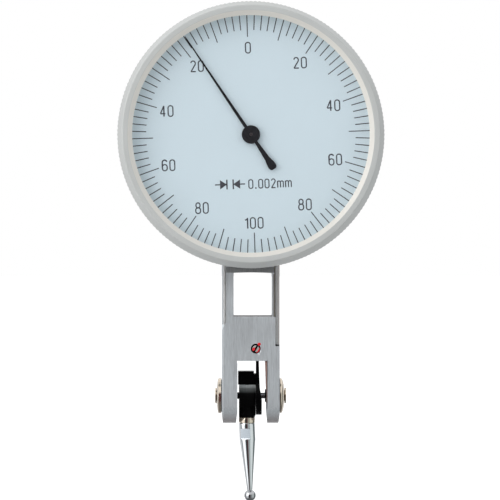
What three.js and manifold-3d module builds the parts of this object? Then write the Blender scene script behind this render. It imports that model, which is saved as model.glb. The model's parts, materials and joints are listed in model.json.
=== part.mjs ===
// Lever-type dial test indicator with a large dial, in millimetres.
// The origin is the centre of the flat case back, on the pointer axis.
// +Z is up, the stylus points down, and the dial faces -Y.
import * as THREE from 'three';
import { mergeVertices } from 'three/addons/utils/BufferGeometryUtils.js';
import Module from 'manifold-3d';

const wasm = await Module();
wasm.setup();

// Bezel, crystal and dial
const bezelRadius = 20;
const bezelRingWidth = 2;
const bezelWall = 1.52;
const bezelConeInset = 0.88;
const bezelDepth = 5.8;
const bezelBandDepth = 3.2;
const bezelStandoff = 1.4;
const bezelDish = 0.45;
const bezelLipWidth = 0.5;
const bezelLipDepth = 0.4;
const bezelLipEdge = 0.1;
const bezelRearChamfer = 0.25;
const bezelRunningFit = 0.08;
const ringSeatFit = 0.05;
const crystalThickness = 0.7;
const spacerDepth = 1.15;
const spacerWall = 0.5;
const dialThickness = 0.4;
const dialHoleRadius = 0.8;
const retainerDepth = 0.3;
const retainerWall = 0.9;

// Round case
const caseWall = 0.9;
const caseFloor = 0.8;
const caseDepth = 3.6;
const caseRearChamfer = 0.5;
const caseScrewHeight = 9;
const caseScrewSpread = 2.6;

// Spring ring that holds the bezel on the case
const springWireRadius = 0.18;
const springWirePlay = 0.12;
const springPlaceFromRear = 1;
const springGap = THREE.MathUtils.degToRad(40);

// Frame bar with its window and fork
const frameHalfWidth = 4.4;
const frameDepth = 8;
const frameTop = 16;
const frameFrontWall = 0.8;
const windowLeft = 2.55;
const windowRight = 3.25;
const windowTop = 21;
const windowHeight = 6.4;
const windowArch = 0.25;
const windowCorner = 0.45;
const forkTop = 34.5;
const forkLeft = 2.05;
const forkRight = 2.4;
const earEndMargin = 0.2;

// Dovetail rails on both edges of the bar
const railOuterHalfDepth = 2.7;
const railLandHalfDepth = 3.1;
const railLand = 0.25;
const railWidth = 0.65;
const railNeckHalfDepth = 2.45;
const railEnd = 28.2;
const railRunOut = 1.2;

// Side cover, which is the right-hand rail
const coverEnd = 31.9;
const coverSlit = 0.15;
const slitEnd = 27.5;
const slitTop = 4;
const channelHalfDepth = 2;
const channelRecess = 0.3;
const channelTop = 1.5;
const channelEnd = 31.1;
const sideScrewLow = 7;
const sideScrewHigh = 13;

// Rear pocket for the gear train and its cover
const pocketHalfWidth = 3;
const pocketHalfHeight = 4.5;
const backCoverThickness = 0.8;
const backCoverMargin = 0.4;
const backCoverHalfHeight = 6.4;
const backCoverFit = 0.05;
const backScrewInset = 0.85;

// Pivot, lever and stylus
const pivotDrop = 39.7;
const stylusReach = 15.4;
const stylusLean = THREE.MathUtils.degToRad(2.5);
const travelPerTurn = 0.2;
const axleRadius = 0.45;
const axleHalfLength = 3.6;
const runningFit = 0.04;
const seatFit = 0.03;
const hubRadius = 2;
const hubWidth = 2.46;
const hubRight = 0.66;
const bossRadius = 1.21;
const bossReach = 3.64;
const blockTop = 3.8;
const blockHalfDepth = 1.1;
const blockUnderside = 1.4;
const blockOverhang = 0.15;
const clutchFit = 0.08;
const clutchCollarRadius = 0.54;
const clutchCollarGap = 0.03;
const armGap = 0.14;
const armThickness = 0.47;
const armEyeThickness = 0.9;
const armEyeRadius = 3.05;
const armTipHalfWidth = 0.5;
const armRootHalfWidth = 1.3;
const armPinRadius = 0.25;
const armPinRight = 2.3;
const armTipMargin = 0.5;
const armShoulder = 1.4;
const armTaper = 0.12;
const armTaperRun = 3.8;
const clutchScrewRadius = 0.4;

// Stylus, measured down from the pivot axis
const collarLength = 0.86;
const shankLength = 2.7;
const shankRadius = 1.2;
const shankFlatDrop = 0.9;
const shankFlatLength = 1.53;
const shankFlatHalf = 0.8;
const tipRadius = 0.42;
const ballRadius = 0.9;
const ballGap = 0.03;
const studRadius = 0.55;
const studLength = 1.3;
const studPlay = 0.12;
const shoulderGap = 0.06;
const collarEdge = 0.12;

// Pivot bearings, domed caps and end screws
const earBoreRadius = 1.5;
const bearingLength = 1.2;
const bearingFlangeRadius = 1;
const bearingFlange = 0.22;
const capRadius = 2.72;
const capDome = 0.85;
const capRim = 0.25;
const capRimEdge = 0.1;
const capSpigot = 0.6;
const endScrewRadius = 0.8;
const endScrewHeadRadius = 1.22;
const endScrewHead = 0.22;
const endScrewSlot = 0.3;
const endSlotTurn = 25;
const endSlotDepth = 0.15;
const endPlay = 0.05;

// Transfer lever, its pin and the chamber it works in
const transferDrop = 30.1;
const transferPinRadius = 0.4;
const transferBushRadius = 0.75;
const transferThickness = 0.3;
const transferSideGap = 0.07;
const transferTipHalfWidth = 0.35;
const transferRootHalfWidth = 1;
const transferForkThickness = 0.45;
const transferForkLeft = 1.75;
const transferForkHalfWidth = 0.62;
const pinPlay = 0.02;
const chamberLeft = 0.45;
const chamberRight = 2.6;
const chamberHalfDepth = 2.4;
const chamberTop = 28.6;
const bushHoleRadius = 0.95;
const transferPinDepth = 1;
const transferHeadRadius = 0.75;
const transferHeadDepth = 0.2;

// Adjusting screw in the front of the bar
const adjustSide = 0.86;
const adjustDrop = 32.8;
const adjustHeadRadius = 0.72;
const adjustHeadDepth = 0.5;
const adjustShankRadius = 0.4;
const adjustTipGap = 0.3;
const adjustSlotTurn = 62;

// Gear train
const pinionRadius = 0.81;
const pinionTeeth = 14;
const centrePinionRadius = 0.5;
const centrePinionTeeth = 10;
const crownToothHalf = 0.3;
const crownDisc = 0.5;
const crownToothRoot = 0.08;
const crownShaftRadius = 0.3;
const crownPivotRadius = 0.16;
const crownPivotLength = 0.5;
const centrePinionHalf = 0.4;
const centrePinionGap = 0.6;
const sectorAhead = 0.45;
const sectorBehind = 1.75;
const sectorRim = 1;

// Arbor, jewels, movement plate and hairspring
const arborRadius = 0.25;
const arborHoleRadius = 0.9;
const jewelRadius = 0.6;
const jewelThickness = 0.5;
const crownJewelRadius = 0.7;
const plateRadius = 7.5;
const plateThickness = 0.6;
const plateLift = 1.6;
const plateLegRadius = 1.2;
const plateLegInset = 1.5;
const plateScrewLength = 2.2;
const colletRadius = 0.7;
const colletThickness = 0.8;
const springStrip = 0.1;
const springHeight = 0.4;
const springTurns = 4;
const springTurnSteps = 16;
const springFit = 0.04;
const studPostRadius = 0.3;
const studPostPlace = 3.75;
const studPostPlay = 0.2;

// Pointer
const pointerAngle = THREE.MathUtils.degToRad(34);
const pointerTipMargin = 0.4;
const pointerTail = 6.2;
const pointerRootWidth = 0.53;
const pointerTipWidth = 0.15;
const pointerTailWidth = 1.3;
const pointerNeckWidth = 0.5;
const pointerTailEnd = 0.45;
const pointerTailEndWidth = 0.7;
const pointerThickness = 0.12;
const pointerLift = 0.5;
const pointerHubRadius = 1.37;
const pointerHubRear = 0.1;
const pointerHubFront = 0.14;
const arborTip = 0.05;

// Small screws
const screwHeadRadius = 0.75;
const screwHeadDepth = 0.35;
const screwShankRadius = 0.4;
const screwLength = 1.6;
const screwSlotWidth = 0.2;
const screwSlotDepth = 0.15;
const screwFit = 0.04;
const slotTurnStep = 35;

// Cutters run this far past the faces that they open
const overrun = 0.5;

// Facet counts
const bezelSides = 48;
const ringSides = 40;
const partSides = 24;
const smallSides = 12;
const arcSteps = 8;
const domeSteps = 5;
const ballSteps = 10;
const wireSides = 3;

// Places along the depth of the instrument
const frameFront = -frameDepth;
const pocketFloor = frameFront + frameFrontWall;
const caseFloorFace = frameFront - caseFloor;
const caseRim = frameFront - caseDepth;
const bezelRear = frameFront - bezelStandoff;
const bezelFront = bezelRear - bezelDepth;
const bezelBandFront = bezelRear - bezelBandDepth;
const bezelLipFace = bezelFront + bezelDish;
const crystalFront = bezelLipFace + bezelLipDepth;
const crystalRear = crystalFront + crystalThickness;
const dialFront = crystalRear + spacerDepth;
const dialRear = dialFront + dialThickness;
const springPlace = bezelRear - springPlaceFromRear;
const plateRear = caseFloorFace - plateLift;
const plateFront = plateRear - plateThickness;
const pointerRear = dialFront - pointerLift;
const midDepth = frameFront / 2;
const earEndRadius = frameDepth / 2 + earEndMargin;
const meshDepth = pocketFloor + centrePinionGap + centrePinionHalf;
const crownRadius = midDepth - meshDepth;

// Places derived from the sizes above
const openingRadius = bezelRadius - bezelRingWidth;
const bezelBore = bezelRadius - bezelWall;
const caseRadius = bezelBore - bezelRunningFit;
const ringSeat = bezelBore - ringSeatFit;
const springRadius = (caseRadius + bezelBore) / 2;
const springRoom = springWireRadius + springWirePlay;
const pointerLength = openingRadius - pointerTipMargin;
const plateLegPlace = plateRadius - plateLegInset;
const pivotZ = -pivotDrop;
const transferZ = -transferDrop;
const webRight = frameHalfWidth - railWidth - coverSlit;
const coverLeft = frameHalfWidth - railWidth;
const channelFloor = coverLeft + channelRecess;
const transferLeft = webRight + transferSideGap;
const transferRight = transferLeft + transferThickness;
const armLeft = hubRight + armGap;
const armRight = armLeft + armThickness;
const hubLeft = hubRight - hubWidth;
const hubCentre = (hubLeft + hubRight) / 2;
const pivotSpan = pivotDrop - transferDrop;

// The train turns the pointer once for each travelPerTurn at the ball
const leverTurns = 2 * Math.PI * stylusReach / travelPerTurn;
const sectorRadius = transferDrop - pinionRadius;
const gearTurns = (sectorRadius / pinionRadius) * (crownRadius / centrePinionRadius);
const armShare = leverTurns / gearTurns;
const contactDrop = transferDrop + pivotSpan / (1 + armShare);
const contactZ = -contactDrop;
const armReach = pivotDrop - contactDrop;
const moduleOfPinion = 2 * pinionRadius / pinionTeeth;
const moduleOfCrown = 2 * centrePinionRadius / centrePinionTeeth;
const crownTeeth = Math.round(centrePinionTeeth * crownRadius / centrePinionRadius);
const crownPlane = -centrePinionRadius;

// Tooth form, as shares of the pitch and of the module
const toothRootShare = 0.31;
const toothTipShare = 0.14;
const addendumShare = 0.8;
const dedendumShare = 1.1;

// Materials
function finish(color, roughness, metalness) {
  return new THREE.MeshStandardMaterial({ color, roughness, metalness });
}
const brushedSteel = finish(0xa5a8ac, 0.42, 0.9);
const satinChrome = finish(0xc9c9c4, 0.34, 0.9);
const shadedSteel = finish(0x8d8987, 0.45, 0.9);
const nickel = finish(0xcdbfae, 0.22, 1);
const chrome = finish(0xd9dcde, 0.08, 1);
const blackOxide = finish(0x0d0e0f, 0.4, 0.5);
const brass = finish(0xb99a55, 0.3, 1);
const screwSteel = finish(0x77797c, 0.3, 1);
const springSteel = finish(0x5b6068, 0.3, 1);
const ruby = finish(0xb0173f, 0.1, 0);
const dialWhite = finish(0xd3e0e6, 0.5, 0);
const spacerCream = finish(0xe8e5dc, 0.5, 0);
const pointerBlack = finish(0x24272b, 0.45, 0.2);
const clearCrystal = finish(0xf2f6f7, 0.04, 0);
const carbide = finish(0x9b9d9f, 0.06, 1);

// Solids from geometry, and back
function toSolid(geometry) {
  const bare = geometry.clone();
  bare.deleteAttribute('normal');
  bare.deleteAttribute('uv');
  const merged = mergeVertices(bare);
  const place = merged.attributes.position.array;
  const order = merged.index.array;
  const corner = (i) => new THREE.Vector3().fromArray(place, 3 * i);
  let triangles = [];
  let volume = 0;
  for (let i = 0; i < order.length; i += 3) {
    const [a, b, c] = [order[i], order[i + 1], order[i + 2]];
    if (a === b || b === c || c === a) continue;
    triangles.push([a, b, c]);
    volume += corner(a).dot(corner(b).cross(corner(c)));
  }
  if (volume < 0) triangles = triangles.map(([a, b, c]) => [a, c, b]);
  const vertProperties = new Float32Array(place);
  const triVerts = new Uint32Array(triangles.flat());
  return new wasm.Manifold(new wasm.Mesh({ numProp: 3, vertProperties, triVerts }));
}

function toGeometry(solid) {
  const { vertProperties, triVerts } = solid.getMesh();
  const geometry = new THREE.BufferGeometry();
  geometry.setAttribute('position', new THREE.BufferAttribute(new Float32Array(vertProperties), 3));
  geometry.setIndex(new THREE.BufferAttribute(new Uint32Array(triVerts), 1));
  geometry.computeVertexNormals();
  return geometry;
}

// Basic forms
function block([x0, x1], [y0, y1], [z0, z1]) {
  const box = new THREE.BoxGeometry(x1 - x0, y1 - y0, z1 - z0);
  return toSolid(box.translate((x0 + x1) / 2, (y0 + y1) / 2, (z0 + z1) / 2));
}

function outline(points) {
  return new THREE.Shape(points.map(([u, v]) => new THREE.Vector2(u, v)));
}

function extrude(shape, depth) {
  return new THREE.ExtrudeGeometry(shape, { depth, bevelEnabled: false, curveSegments: arcSteps });
}

// An outline of (y, z) carried along X
function alongX(shape, from, to) {
  const turn = new THREE.Matrix4().makeBasis(
    new THREE.Vector3(0, 1, 0), new THREE.Vector3(0, 0, 1), new THREE.Vector3(1, 0, 0));
  return toSolid(extrude(shape, to - from).applyMatrix4(turn).translate(from, 0, 0));
}

// An outline of (x, z) carried along Y
function alongY(shape, from, to) {
  return toSolid(extrude(shape, to - from).rotateX(Math.PI / 2).translate(0, to, 0));
}

// An outline of (x, y) carried along Z
function alongZ(shape, from, to) {
  return toSolid(extrude(shape, to - from).translate(0, 0, from));
}

// Turned forms: a closed profile of (radius, place along the axis)
function lathe(profile, sides) {
  const closed = [...profile, profile[0]];
  return new THREE.LatheGeometry(closed.map(([r, a]) => new THREE.Vector2(r, a)), sides);
}

function turnedX(profile, sides, y = 0, z = 0) {
  return toSolid(lathe(profile, sides).rotateZ(-Math.PI / 2).translate(0, y, z));
}

function turnedY(profile, sides, x = 0, z = 0) {
  return toSolid(lathe(profile, sides).translate(x, 0, z));
}

function turnedZ(profile, sides, x = 0, y = 0) {
  return toSolid(lathe(profile, sides).rotateX(Math.PI / 2).translate(x, y, 0));
}

function rod(radius, from, to) {
  return [[0, from], [radius, from], [radius, to], [0, to]];
}

function tube(inner, outer, from, to) {
  return [[inner, from], [outer, from], [outer, to], [inner, to]];
}

// A run of points on an arc about (u, v)
function arc(u, v, radius, start, end, steps) {
  return Array.from({ length: steps + 1 }, (_, i) => {
    const angle = start + (end - start) * i / steps;
    return [u + radius * Math.cos(angle), v + radius * Math.sin(angle)];
  });
}

const part = new THREE.Group();

function add(name, solid, material, parent = part) {
  const mesh = new THREE.Mesh(toGeometry(solid), material);
  mesh.name = name;
  parent.add(mesh);
  return mesh;
}

// A slotted screw whose head's face lies at `face` and whose shank runs to the + side of Y
function screwAlongY(x, z, face, length = screwLength, turn = 0) {
  const seat = face + screwHeadDepth;
  const body = turnedY([
    [0, face], [screwHeadRadius, face], [screwHeadRadius, seat],
    [screwShankRadius, seat], [screwShankRadius, seat + length], [0, seat + length],
  ], smallSides);
  const slot = block(
    [-screwHeadRadius - overrun, screwHeadRadius + overrun],
    [face - overrun, face + screwSlotDepth],
    [-screwSlotWidth / 2, screwSlotWidth / 2]);
  return body.subtract(slot).rotate([0, turn, 0]).translate([x, 0, z]);
}

// The room that such a screw needs
function screwRoomAlongY(x, z, face, length = screwLength) {
  const seat = face + screwHeadDepth;
  const head = screwHeadRadius + screwFit;
  const shank = screwShankRadius + screwFit;
  return turnedY([
    [0, face - overrun], [head, face - overrun], [head, seat],
    [shank, seat], [shank, seat + length + screwFit], [0, seat + length + screwFit],
  ], smallSides, x, z);
}

// The same pair with the shank running to the - side of Y
function rearScrew(x, z, face, turn = 0) {
  return screwAlongY(x, z, 0, screwLength, turn).mirror([0, 1, 0]).translate([0, face, 0]);
}

function rearScrewRoom(x, z, face) {
  return screwRoomAlongY(x, z, 0).mirror([0, 1, 0]).translate([0, face, 0]);
}

// Screws along -X, with the head's face at `face`
function sideScrew(y, z, face) {
  return screwAlongY(0, 0, 0).rotate([0, 0, 90]).translate([face, y, z]);
}

function sideScrewRoom(y, z, face) {
  return screwRoomAlongY(0, 0, 0).rotate([0, 0, 90]).translate([face, y, z]);
}

// Gear outline of (u, v) with a tooth pointing at `phase`
function gearOutline(pitchRadius, teeth, toothModule, phase) {
  const tip = pitchRadius + addendumShare * toothModule;
  const root = pitchRadius - dedendumShare * toothModule;
  const step = 2 * Math.PI / teeth;
  const points = [];
  for (let i = 0; i < teeth; i += 1) {
    const centre = phase + i * step;
    const edges = [
      [root, -toothRootShare], [tip, -toothTipShare], [tip, toothTipShare], [root, toothRootShare],
    ];
    for (const [radius, share] of edges) {
      const angle = centre + share * step;
      points.push([radius * Math.cos(angle), radius * Math.sin(angle)]);
    }
  }
  return outline(points);
}

// Places of the fasteners, shared by the screws and by the holes for them
const caseScrews = [-1, 1].flatMap((side) => [-1, 1].map((end) => (
  { x: side * caseScrewSpread, z: end * caseScrewHeight })));
const backScrews = [-1, 1].flatMap((side) => [-1, 1].map((end) => ({
  x: side * (pocketHalfWidth + backCoverMargin - backScrewInset),
  z: end * (backCoverHalfHeight - backScrewInset),
})));
const sideScrews = [sideScrewLow, sideScrewHigh];

// Frame bar
function dovetailCutter(side, face) {
  const x = (value) => side * value;
  const y = (half) => midDepth + face * half;
  const outer = frameHalfWidth + overrun;
  const wall = frameHalfWidth - railWidth;
  return outline([
    [x(outer), y(frameDepth / 2 + overrun)],
    [x(wall), y(frameDepth / 2 + overrun)],
    [x(wall), y(railNeckHalfDepth)],
    [x(frameHalfWidth - railLand), y(railLandHalfDepth)],
    [x(frameHalfWidth), y(railOuterHalfDepth)],
    [x(outer), y(railOuterHalfDepth)],
  ]);
}

function frameSolid() {
  const front = frameFront;
  const half = frameDepth / 2;
  const start = Math.asin(half / earEndRadius);
  const side = outline([
    [front, frameTop],
    ...arc(midDepth, pivotZ, earEndRadius, -Math.PI / 2 - start, -Math.PI / 2 + start, 2 * arcSteps),
    [0, frameTop],
  ]);
  let body = alongX(side, -frameHalfWidth, frameHalfWidth);

  const fork = block(
    [-forkLeft, forkRight], [front - overrun, overrun], [pivotZ - earEndRadius - overrun, -forkTop]);

  const top = -windowTop;
  const shoulder = top - windowArch;
  const sill = top - windowHeight;
  const opening = new THREE.Shape();
  opening.moveTo(-windowLeft, sill);
  opening.lineTo(windowRight, sill);
  opening.lineTo(windowRight, shoulder - windowCorner);
  opening.quadraticCurveTo(windowRight, shoulder, windowRight - windowCorner, shoulder);
  opening.quadraticCurveTo(
    (windowRight - windowLeft) / 2, top + windowArch, windowCorner - windowLeft, shoulder);
  opening.quadraticCurveTo(-windowLeft, shoulder, -windowLeft, shoulder - windowCorner);
  const window = alongY(opening, front - overrun, overrun);

  const runOut = outline([
    [-frameHalfWidth - overrun, -railEnd - railRunOut * (1 + overrun / railWidth)],
    [railWidth - frameHalfWidth, -railEnd],
    [railWidth - frameHalfWidth, frameTop + overrun],
    [-frameHalfWidth - overrun, frameTop + overrun],
  ]);
  const railLimit = alongY(runOut, front - overrun, overrun);
  const low = -railEnd - railRunOut - overrun;
  const leftGrooves = [-1, 1].map((face) => (
    alongZ(dovetailCutter(-1, face), low, frameTop + overrun).intersect(railLimit)));

  const sideRecess = block(
    [coverLeft, frameHalfWidth + overrun], [front - overrun, overrun], [-coverEnd, frameTop + overrun]);
  const slit = block([webRight, coverLeft + overrun], [front - overrun, overrun], [-slitEnd, slitTop]);
  const channel = block(
    [webRight, coverLeft + overrun],
    [midDepth - channelHalfDepth, midDepth + channelHalfDepth], [-channelEnd, slitTop]);
  const pocket = block(
    [-pocketHalfWidth, pocketHalfWidth], [pocketFloor, overrun], [-pocketHalfHeight, pocketHalfHeight]);
  const coverHalf = pocketHalfWidth + backCoverMargin + backCoverFit;
  const coverRecess = block(
    [-coverHalf, coverHalf], [-backCoverThickness, overrun],
    [-backCoverHalfHeight - backCoverFit, backCoverHalfHeight + backCoverFit]);

  const chamber = block(
    [chamberLeft, chamberRight],
    [midDepth - chamberHalfDepth, midDepth + chamberHalfDepth], [-forkTop - overrun, -chamberTop]);
  const bushHole = turnedX(rod(bushHoleRadius, chamberRight - overrun, webRight + overrun),
    partSides, midDepth, transferZ);
  const pinHole = turnedX(
    rod(transferPinRadius + seatFit, chamberLeft - transferPinDepth - seatFit, chamberLeft + overrun),
    smallSides, midDepth, transferZ);
  const adjustHole = turnedY([
    [0, front - overrun], [adjustHeadRadius + screwFit, front - overrun],
    [adjustHeadRadius + screwFit, front + adjustHeadDepth],
    [adjustShankRadius + screwFit, front + adjustHeadDepth],
    [adjustShankRadius + screwFit, midDepth], [0, midDepth],
  ], partSides, adjustSide, -adjustDrop);

  const arborHole = turnedY(
    rod(jewelRadius + seatFit, front - overrun, pocketFloor + overrun), smallSides);
  const leftJewel = turnedX(
    rod(crownJewelRadius + seatFit, -pocketHalfWidth - crownPivotLength, -pocketHalfWidth + overrun),
    partSides, midDepth);
  const rightJewel = turnedX(
    rod(crownJewelRadius + seatFit, pocketHalfWidth - overrun, webRight + overrun), partSides, midDepth);
  const earBores = turnedX(
    rod(earBoreRadius, -frameHalfWidth - overrun, frameHalfWidth + overrun), partSides, midDepth, pivotZ);

  const cuts = [
    fork, window, ...leftGrooves, sideRecess, slit, channel, pocket, coverRecess, chamber,
    bushHole, pinHole, adjustHole, arborHole, leftJewel, rightJewel, earBores,
    ...caseScrews.map(({ x, z }) => screwRoomAlongY(x, z, caseFloorFace)),
    ...backScrews.map(({ x, z }) => rearScrewRoom(x, z, 0)),
    ...sideScrews.map((z) => sideScrewRoom(midDepth, z, frameHalfWidth)),
  ];
  for (const cut of cuts) body = body.subtract(cut);
  return body;
}

add('frame', frameSolid(), brushedSteel);

// Side cover: the right-hand rail, hollowed inside for the transfer lever
function sideCoverSolid() {
  const half = (value) => [midDepth - value, midDepth + value];
  const [neckFront, neckRear] = half(railNeckHalfDepth);
  const [landFront, landRear] = half(railLandHalfDepth);
  const [outerFront, outerRear] = half(railOuterHalfDepth);
  const land = frameHalfWidth - railLand;
  const rail = alongZ(outline([
    [coverLeft, neckFront], [land, landFront], [frameHalfWidth, outerFront],
    [frameHalfWidth, outerRear], [land, landRear], [coverLeft, neckRear],
  ]), -coverEnd, frameTop);
  const hollow = block(
    [coverLeft - overrun, channelFloor],
    [midDepth - channelHalfDepth, midDepth + channelHalfDepth], [-channelEnd, channelTop]);
  const headRoom = transferHeadRadius + screwFit;
  const pinHole = turnedX([
    [0, coverLeft], [transferPinRadius + seatFit, coverLeft],
    [transferPinRadius + seatFit, frameHalfWidth - transferHeadDepth],
    [headRoom, frameHalfWidth - transferHeadDepth], [headRoom, frameHalfWidth + overrun],
    [0, frameHalfWidth + overrun],
  ], smallSides, midDepth, transferZ);
  let body = rail.subtract(hollow).subtract(pinHole);
  for (const z of sideScrews) body = body.subtract(sideScrewRoom(midDepth, z, frameHalfWidth));
  return body;
}
add('side_cover', sideCoverSolid(), shadedSteel);
sideScrews.forEach((z, i) => {
  add(`side_cover_screw_${i + 1}`, sideScrew(midDepth, z, frameHalfWidth), screwSteel);
});

// Back cover, flush with the back of the bar
function backCoverSolid() {
  const half = pocketHalfWidth + backCoverMargin;
  let plate = block(
    [-half, half], [-backCoverThickness, 0], [-backCoverHalfHeight, backCoverHalfHeight]);
  for (const { x, z } of backScrews) plate = plate.subtract(rearScrewRoom(x, z, 0));
  return plate;
}
add('back_cover', backCoverSolid(), brushedSteel);
backScrews.forEach(({ x, z }, i) => {
  add(`back_cover_screw_${i + 1}`, rearScrew(x, z, 0, slotTurnStep * i), screwSteel);
});

// Round case, a cup screwed to the front of the bar
const plateScrews = [-1, 1].map((end) => ({ x: 0, z: end * plateLegPlace }));
function caseSolid() {
  const groove = springRadius - springRoom;
  let cup = turnedY([
    [arborHoleRadius, frameFront], [caseRadius - caseRearChamfer, frameFront],
    [caseRadius, frameFront - caseRearChamfer], [caseRadius, springPlace + springRoom],
    [groove, springPlace + springRoom], [groove, springPlace - springRoom],
    [caseRadius, springPlace - springRoom], [caseRadius, caseRim],
    [caseRadius - caseWall, caseRim], [caseRadius - caseWall, caseFloorFace],
    [arborHoleRadius, caseFloorFace],
  ], ringSides);
  for (const { x, z } of caseScrews) cup = cup.subtract(screwRoomAlongY(x, z, caseFloorFace));
  for (const { x, z } of plateScrews) {
    cup = cup.subtract(screwRoomAlongY(x, z, plateFront, plateScrewLength));
  }
  const post = turnedY(
    rod(studPostRadius + seatFit, frameFront - caseFloor / 2, caseFloorFace - overrun),
    smallSides, studPostPlace, 0);
  return cup.subtract(post);
}
add('case_body', caseSolid(), satinChrome);
caseScrews.forEach(({ x, z }, i) => {
  add(`case_screw_${i + 1}`, screwAlongY(x, z, caseFloorFace, screwLength, slotTurnStep * i), screwSteel);
});

// Spring ring between the case and the bezel
class RingPath extends THREE.Curve {
  getPoint(t) {
    const angle = springGap / 2 + t * (2 * Math.PI - springGap);
    return new THREE.Vector3(springRadius * Math.sin(angle), springPlace, springRadius * Math.cos(angle));
  }
}
function springRingSolid() {
  const wire = new THREE.Shape().absarc(0, 0, springWireRadius, 0, 2 * Math.PI);
  return toSolid(new THREE.ExtrudeGeometry(wire, {
    steps: ringSides, extrudePath: new RingPath(), bevelEnabled: false, curveSegments: wireSides,
  }));
}
add('bezel_spring', springRingSolid(), springSteel);

// Turning bezel with the crystal, spacer, dial and retainer that it carries
function bezelSolid() {
  const groove = springRadius + springRoom;
  return turnedY([
    [bezelBore, bezelRear], [bezelRadius - bezelRearChamfer, bezelRear],
    [bezelRadius, bezelRear - bezelRearChamfer], [bezelRadius, bezelBandFront],
    [bezelRadius - bezelConeInset, bezelFront], [openingRadius + bezelLipWidth, bezelLipFace],
    [openingRadius, crystalFront - bezelLipEdge], [openingRadius, crystalFront], [bezelBore, crystalFront],
    [bezelBore, springPlace - springRoom], [groove, springPlace - springRoom],
    [groove, springPlace + springRoom], [bezelBore, springPlace + springRoom],
  ], bezelSides);
}
add('bezel_ring', bezelSolid(), satinChrome);
add('crystal', turnedY(rod(ringSeat, crystalFront, crystalRear), ringSides), clearCrystal);
add('dial_spacer',
  turnedY(tube(ringSeat - spacerWall, ringSeat, crystalRear, dialFront), ringSides), spacerCream);
add('dial_plate', turnedY(tube(dialHoleRadius, ringSeat, dialFront, dialRear), ringSides), dialWhite);
add('dial_retainer',
  turnedY(tube(ringSeat - retainerWall, ringSeat, dialRear, dialRear + retainerDepth), ringSides), brass);

// Movement plate on two legs, inside the case
function plateSolid() {
  let body = turnedY(rod(plateRadius, plateFront, plateRear), partSides);
  for (const { x, z } of plateScrews) {
    body = body.add(turnedY(rod(plateLegRadius, plateFront, caseFloorFace), partSides, x, z));
  }
  for (const { x, z } of plateScrews) {
    body = body.subtract(screwRoomAlongY(x, z, plateFront, plateScrewLength));
  }
  return body.subtract(
    turnedY(rod(jewelRadius + seatFit, plateFront - overrun, plateRear + overrun), smallSides));
}
add('movement_plate', plateSolid(), brass);
plateScrews.forEach(({ x, z }, i) => {
  add(`plate_screw_${i + 1}`, screwAlongY(x, z, plateFront, plateScrewLength, slotTurnStep * i), screwSteel);
});

// Jewels of the arbor and of the crown shaft
const arborBore = arborRadius + runningFit;
add('arbor_jewel_front', turnedY(tube(arborBore, jewelRadius, plateFront, plateFront + jewelThickness),
  smallSides), ruby);
add('arbor_jewel_rear', turnedY(tube(arborBore, jewelRadius, pocketFloor - jewelThickness, pocketFloor),
  smallSides), ruby);
const leftJewelFace = -pocketHalfWidth;
add('crown_jewel_left', turnedX(
  tube(crownPivotRadius + runningFit, crownJewelRadius, leftJewelFace - crownPivotLength, leftJewelFace),
  partSides, midDepth), ruby);
add('crown_jewel_right', turnedX(
  tube(crownShaftRadius + runningFit, crownJewelRadius, pocketHalfWidth, pocketHalfWidth + jewelThickness),
  partSides, midDepth), ruby);

// Hairspring, its collet on the arbor and its stud in the case floor
const springMiddle = (caseFloorFace + plateRear) / 2;
function hairspringSolid() {
  const inner = colletRadius + springFit;
  const outer = studPostPlace - studPostRadius - springFit - springStrip;
  const steps = springTurns * springTurnSteps;
  const edge = (offset) => Array.from({ length: steps + 1 }, (_, i) => {
    const angle = 2 * Math.PI * springTurns * i / steps;
    const radius = inner + (outer - inner) * i / steps + offset;
    return [radius * Math.cos(angle), radius * Math.sin(angle)];
  });
  const band = outline([...edge(0), ...edge(springStrip).reverse()]);
  return alongY(band, springMiddle - springHeight / 2, springMiddle + springHeight / 2);
}
add('hairspring', hairspringSolid(), springSteel);
const colletFront = springMiddle - colletThickness / 2;
add('hairspring_collet', turnedY(
  tube(arborRadius + seatFit, colletRadius, colletFront, colletFront + colletThickness),
  partSides), brass);
add('hairspring_stud', turnedY(
  rod(studPostRadius, plateRear + studPostPlay, frameFront - caseFloor / 2 - seatFit),
  smallSides, studPostPlace, 0), brass);

// Pointer arbor with the centre pinion at its rear end
function arborSolid() {
  const hubFace = pointerRear - pointerThickness - pointerHubFront;
  const shaft = turnedY(rod(arborRadius, hubFace - arborTip, meshDepth + centrePinionHalf), smallSides);
  const teeth = alongY(
    gearOutline(centrePinionRadius, centrePinionTeeth, moduleOfCrown, Math.PI),
    meshDepth - centrePinionHalf, meshDepth + centrePinionHalf);
  return shaft.add(teeth);
}
add('pointer_arbor', arborSolid(), screwSteel);

// Pointer, drawn upright and then turned to where it rests
function pointerSolid() {
  const half = (width) => width / 2;
  const sideOf = (sign) => [
    [sign * half(pointerTipWidth), pointerLength],
    [sign * half(pointerRootWidth), 0],
    [sign * half(pointerNeckWidth), -pointerHubRadius],
    [sign * half(pointerTailWidth), pointerTailEnd - pointerTail],
    [sign * half(pointerTailEndWidth), -pointerTail],
  ];
  const front = pointerRear - pointerThickness;
  const hand = alongY(outline([...sideOf(1), ...sideOf(-1).reverse()]), front, pointerRear);
  const hub = turnedY(
    rod(pointerHubRadius, front - pointerHubFront, pointerRear + pointerHubRear), partSides);
  const bore = turnedY(
    rod(arborRadius + seatFit, front - overrun, pointerRear + overrun), smallSides);
  return hand.add(hub).subtract(bore).rotate([0, -THREE.MathUtils.radToDeg(pointerAngle), 0]);
}
add('pointer_hand', pointerSolid(), pointerBlack);

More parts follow.
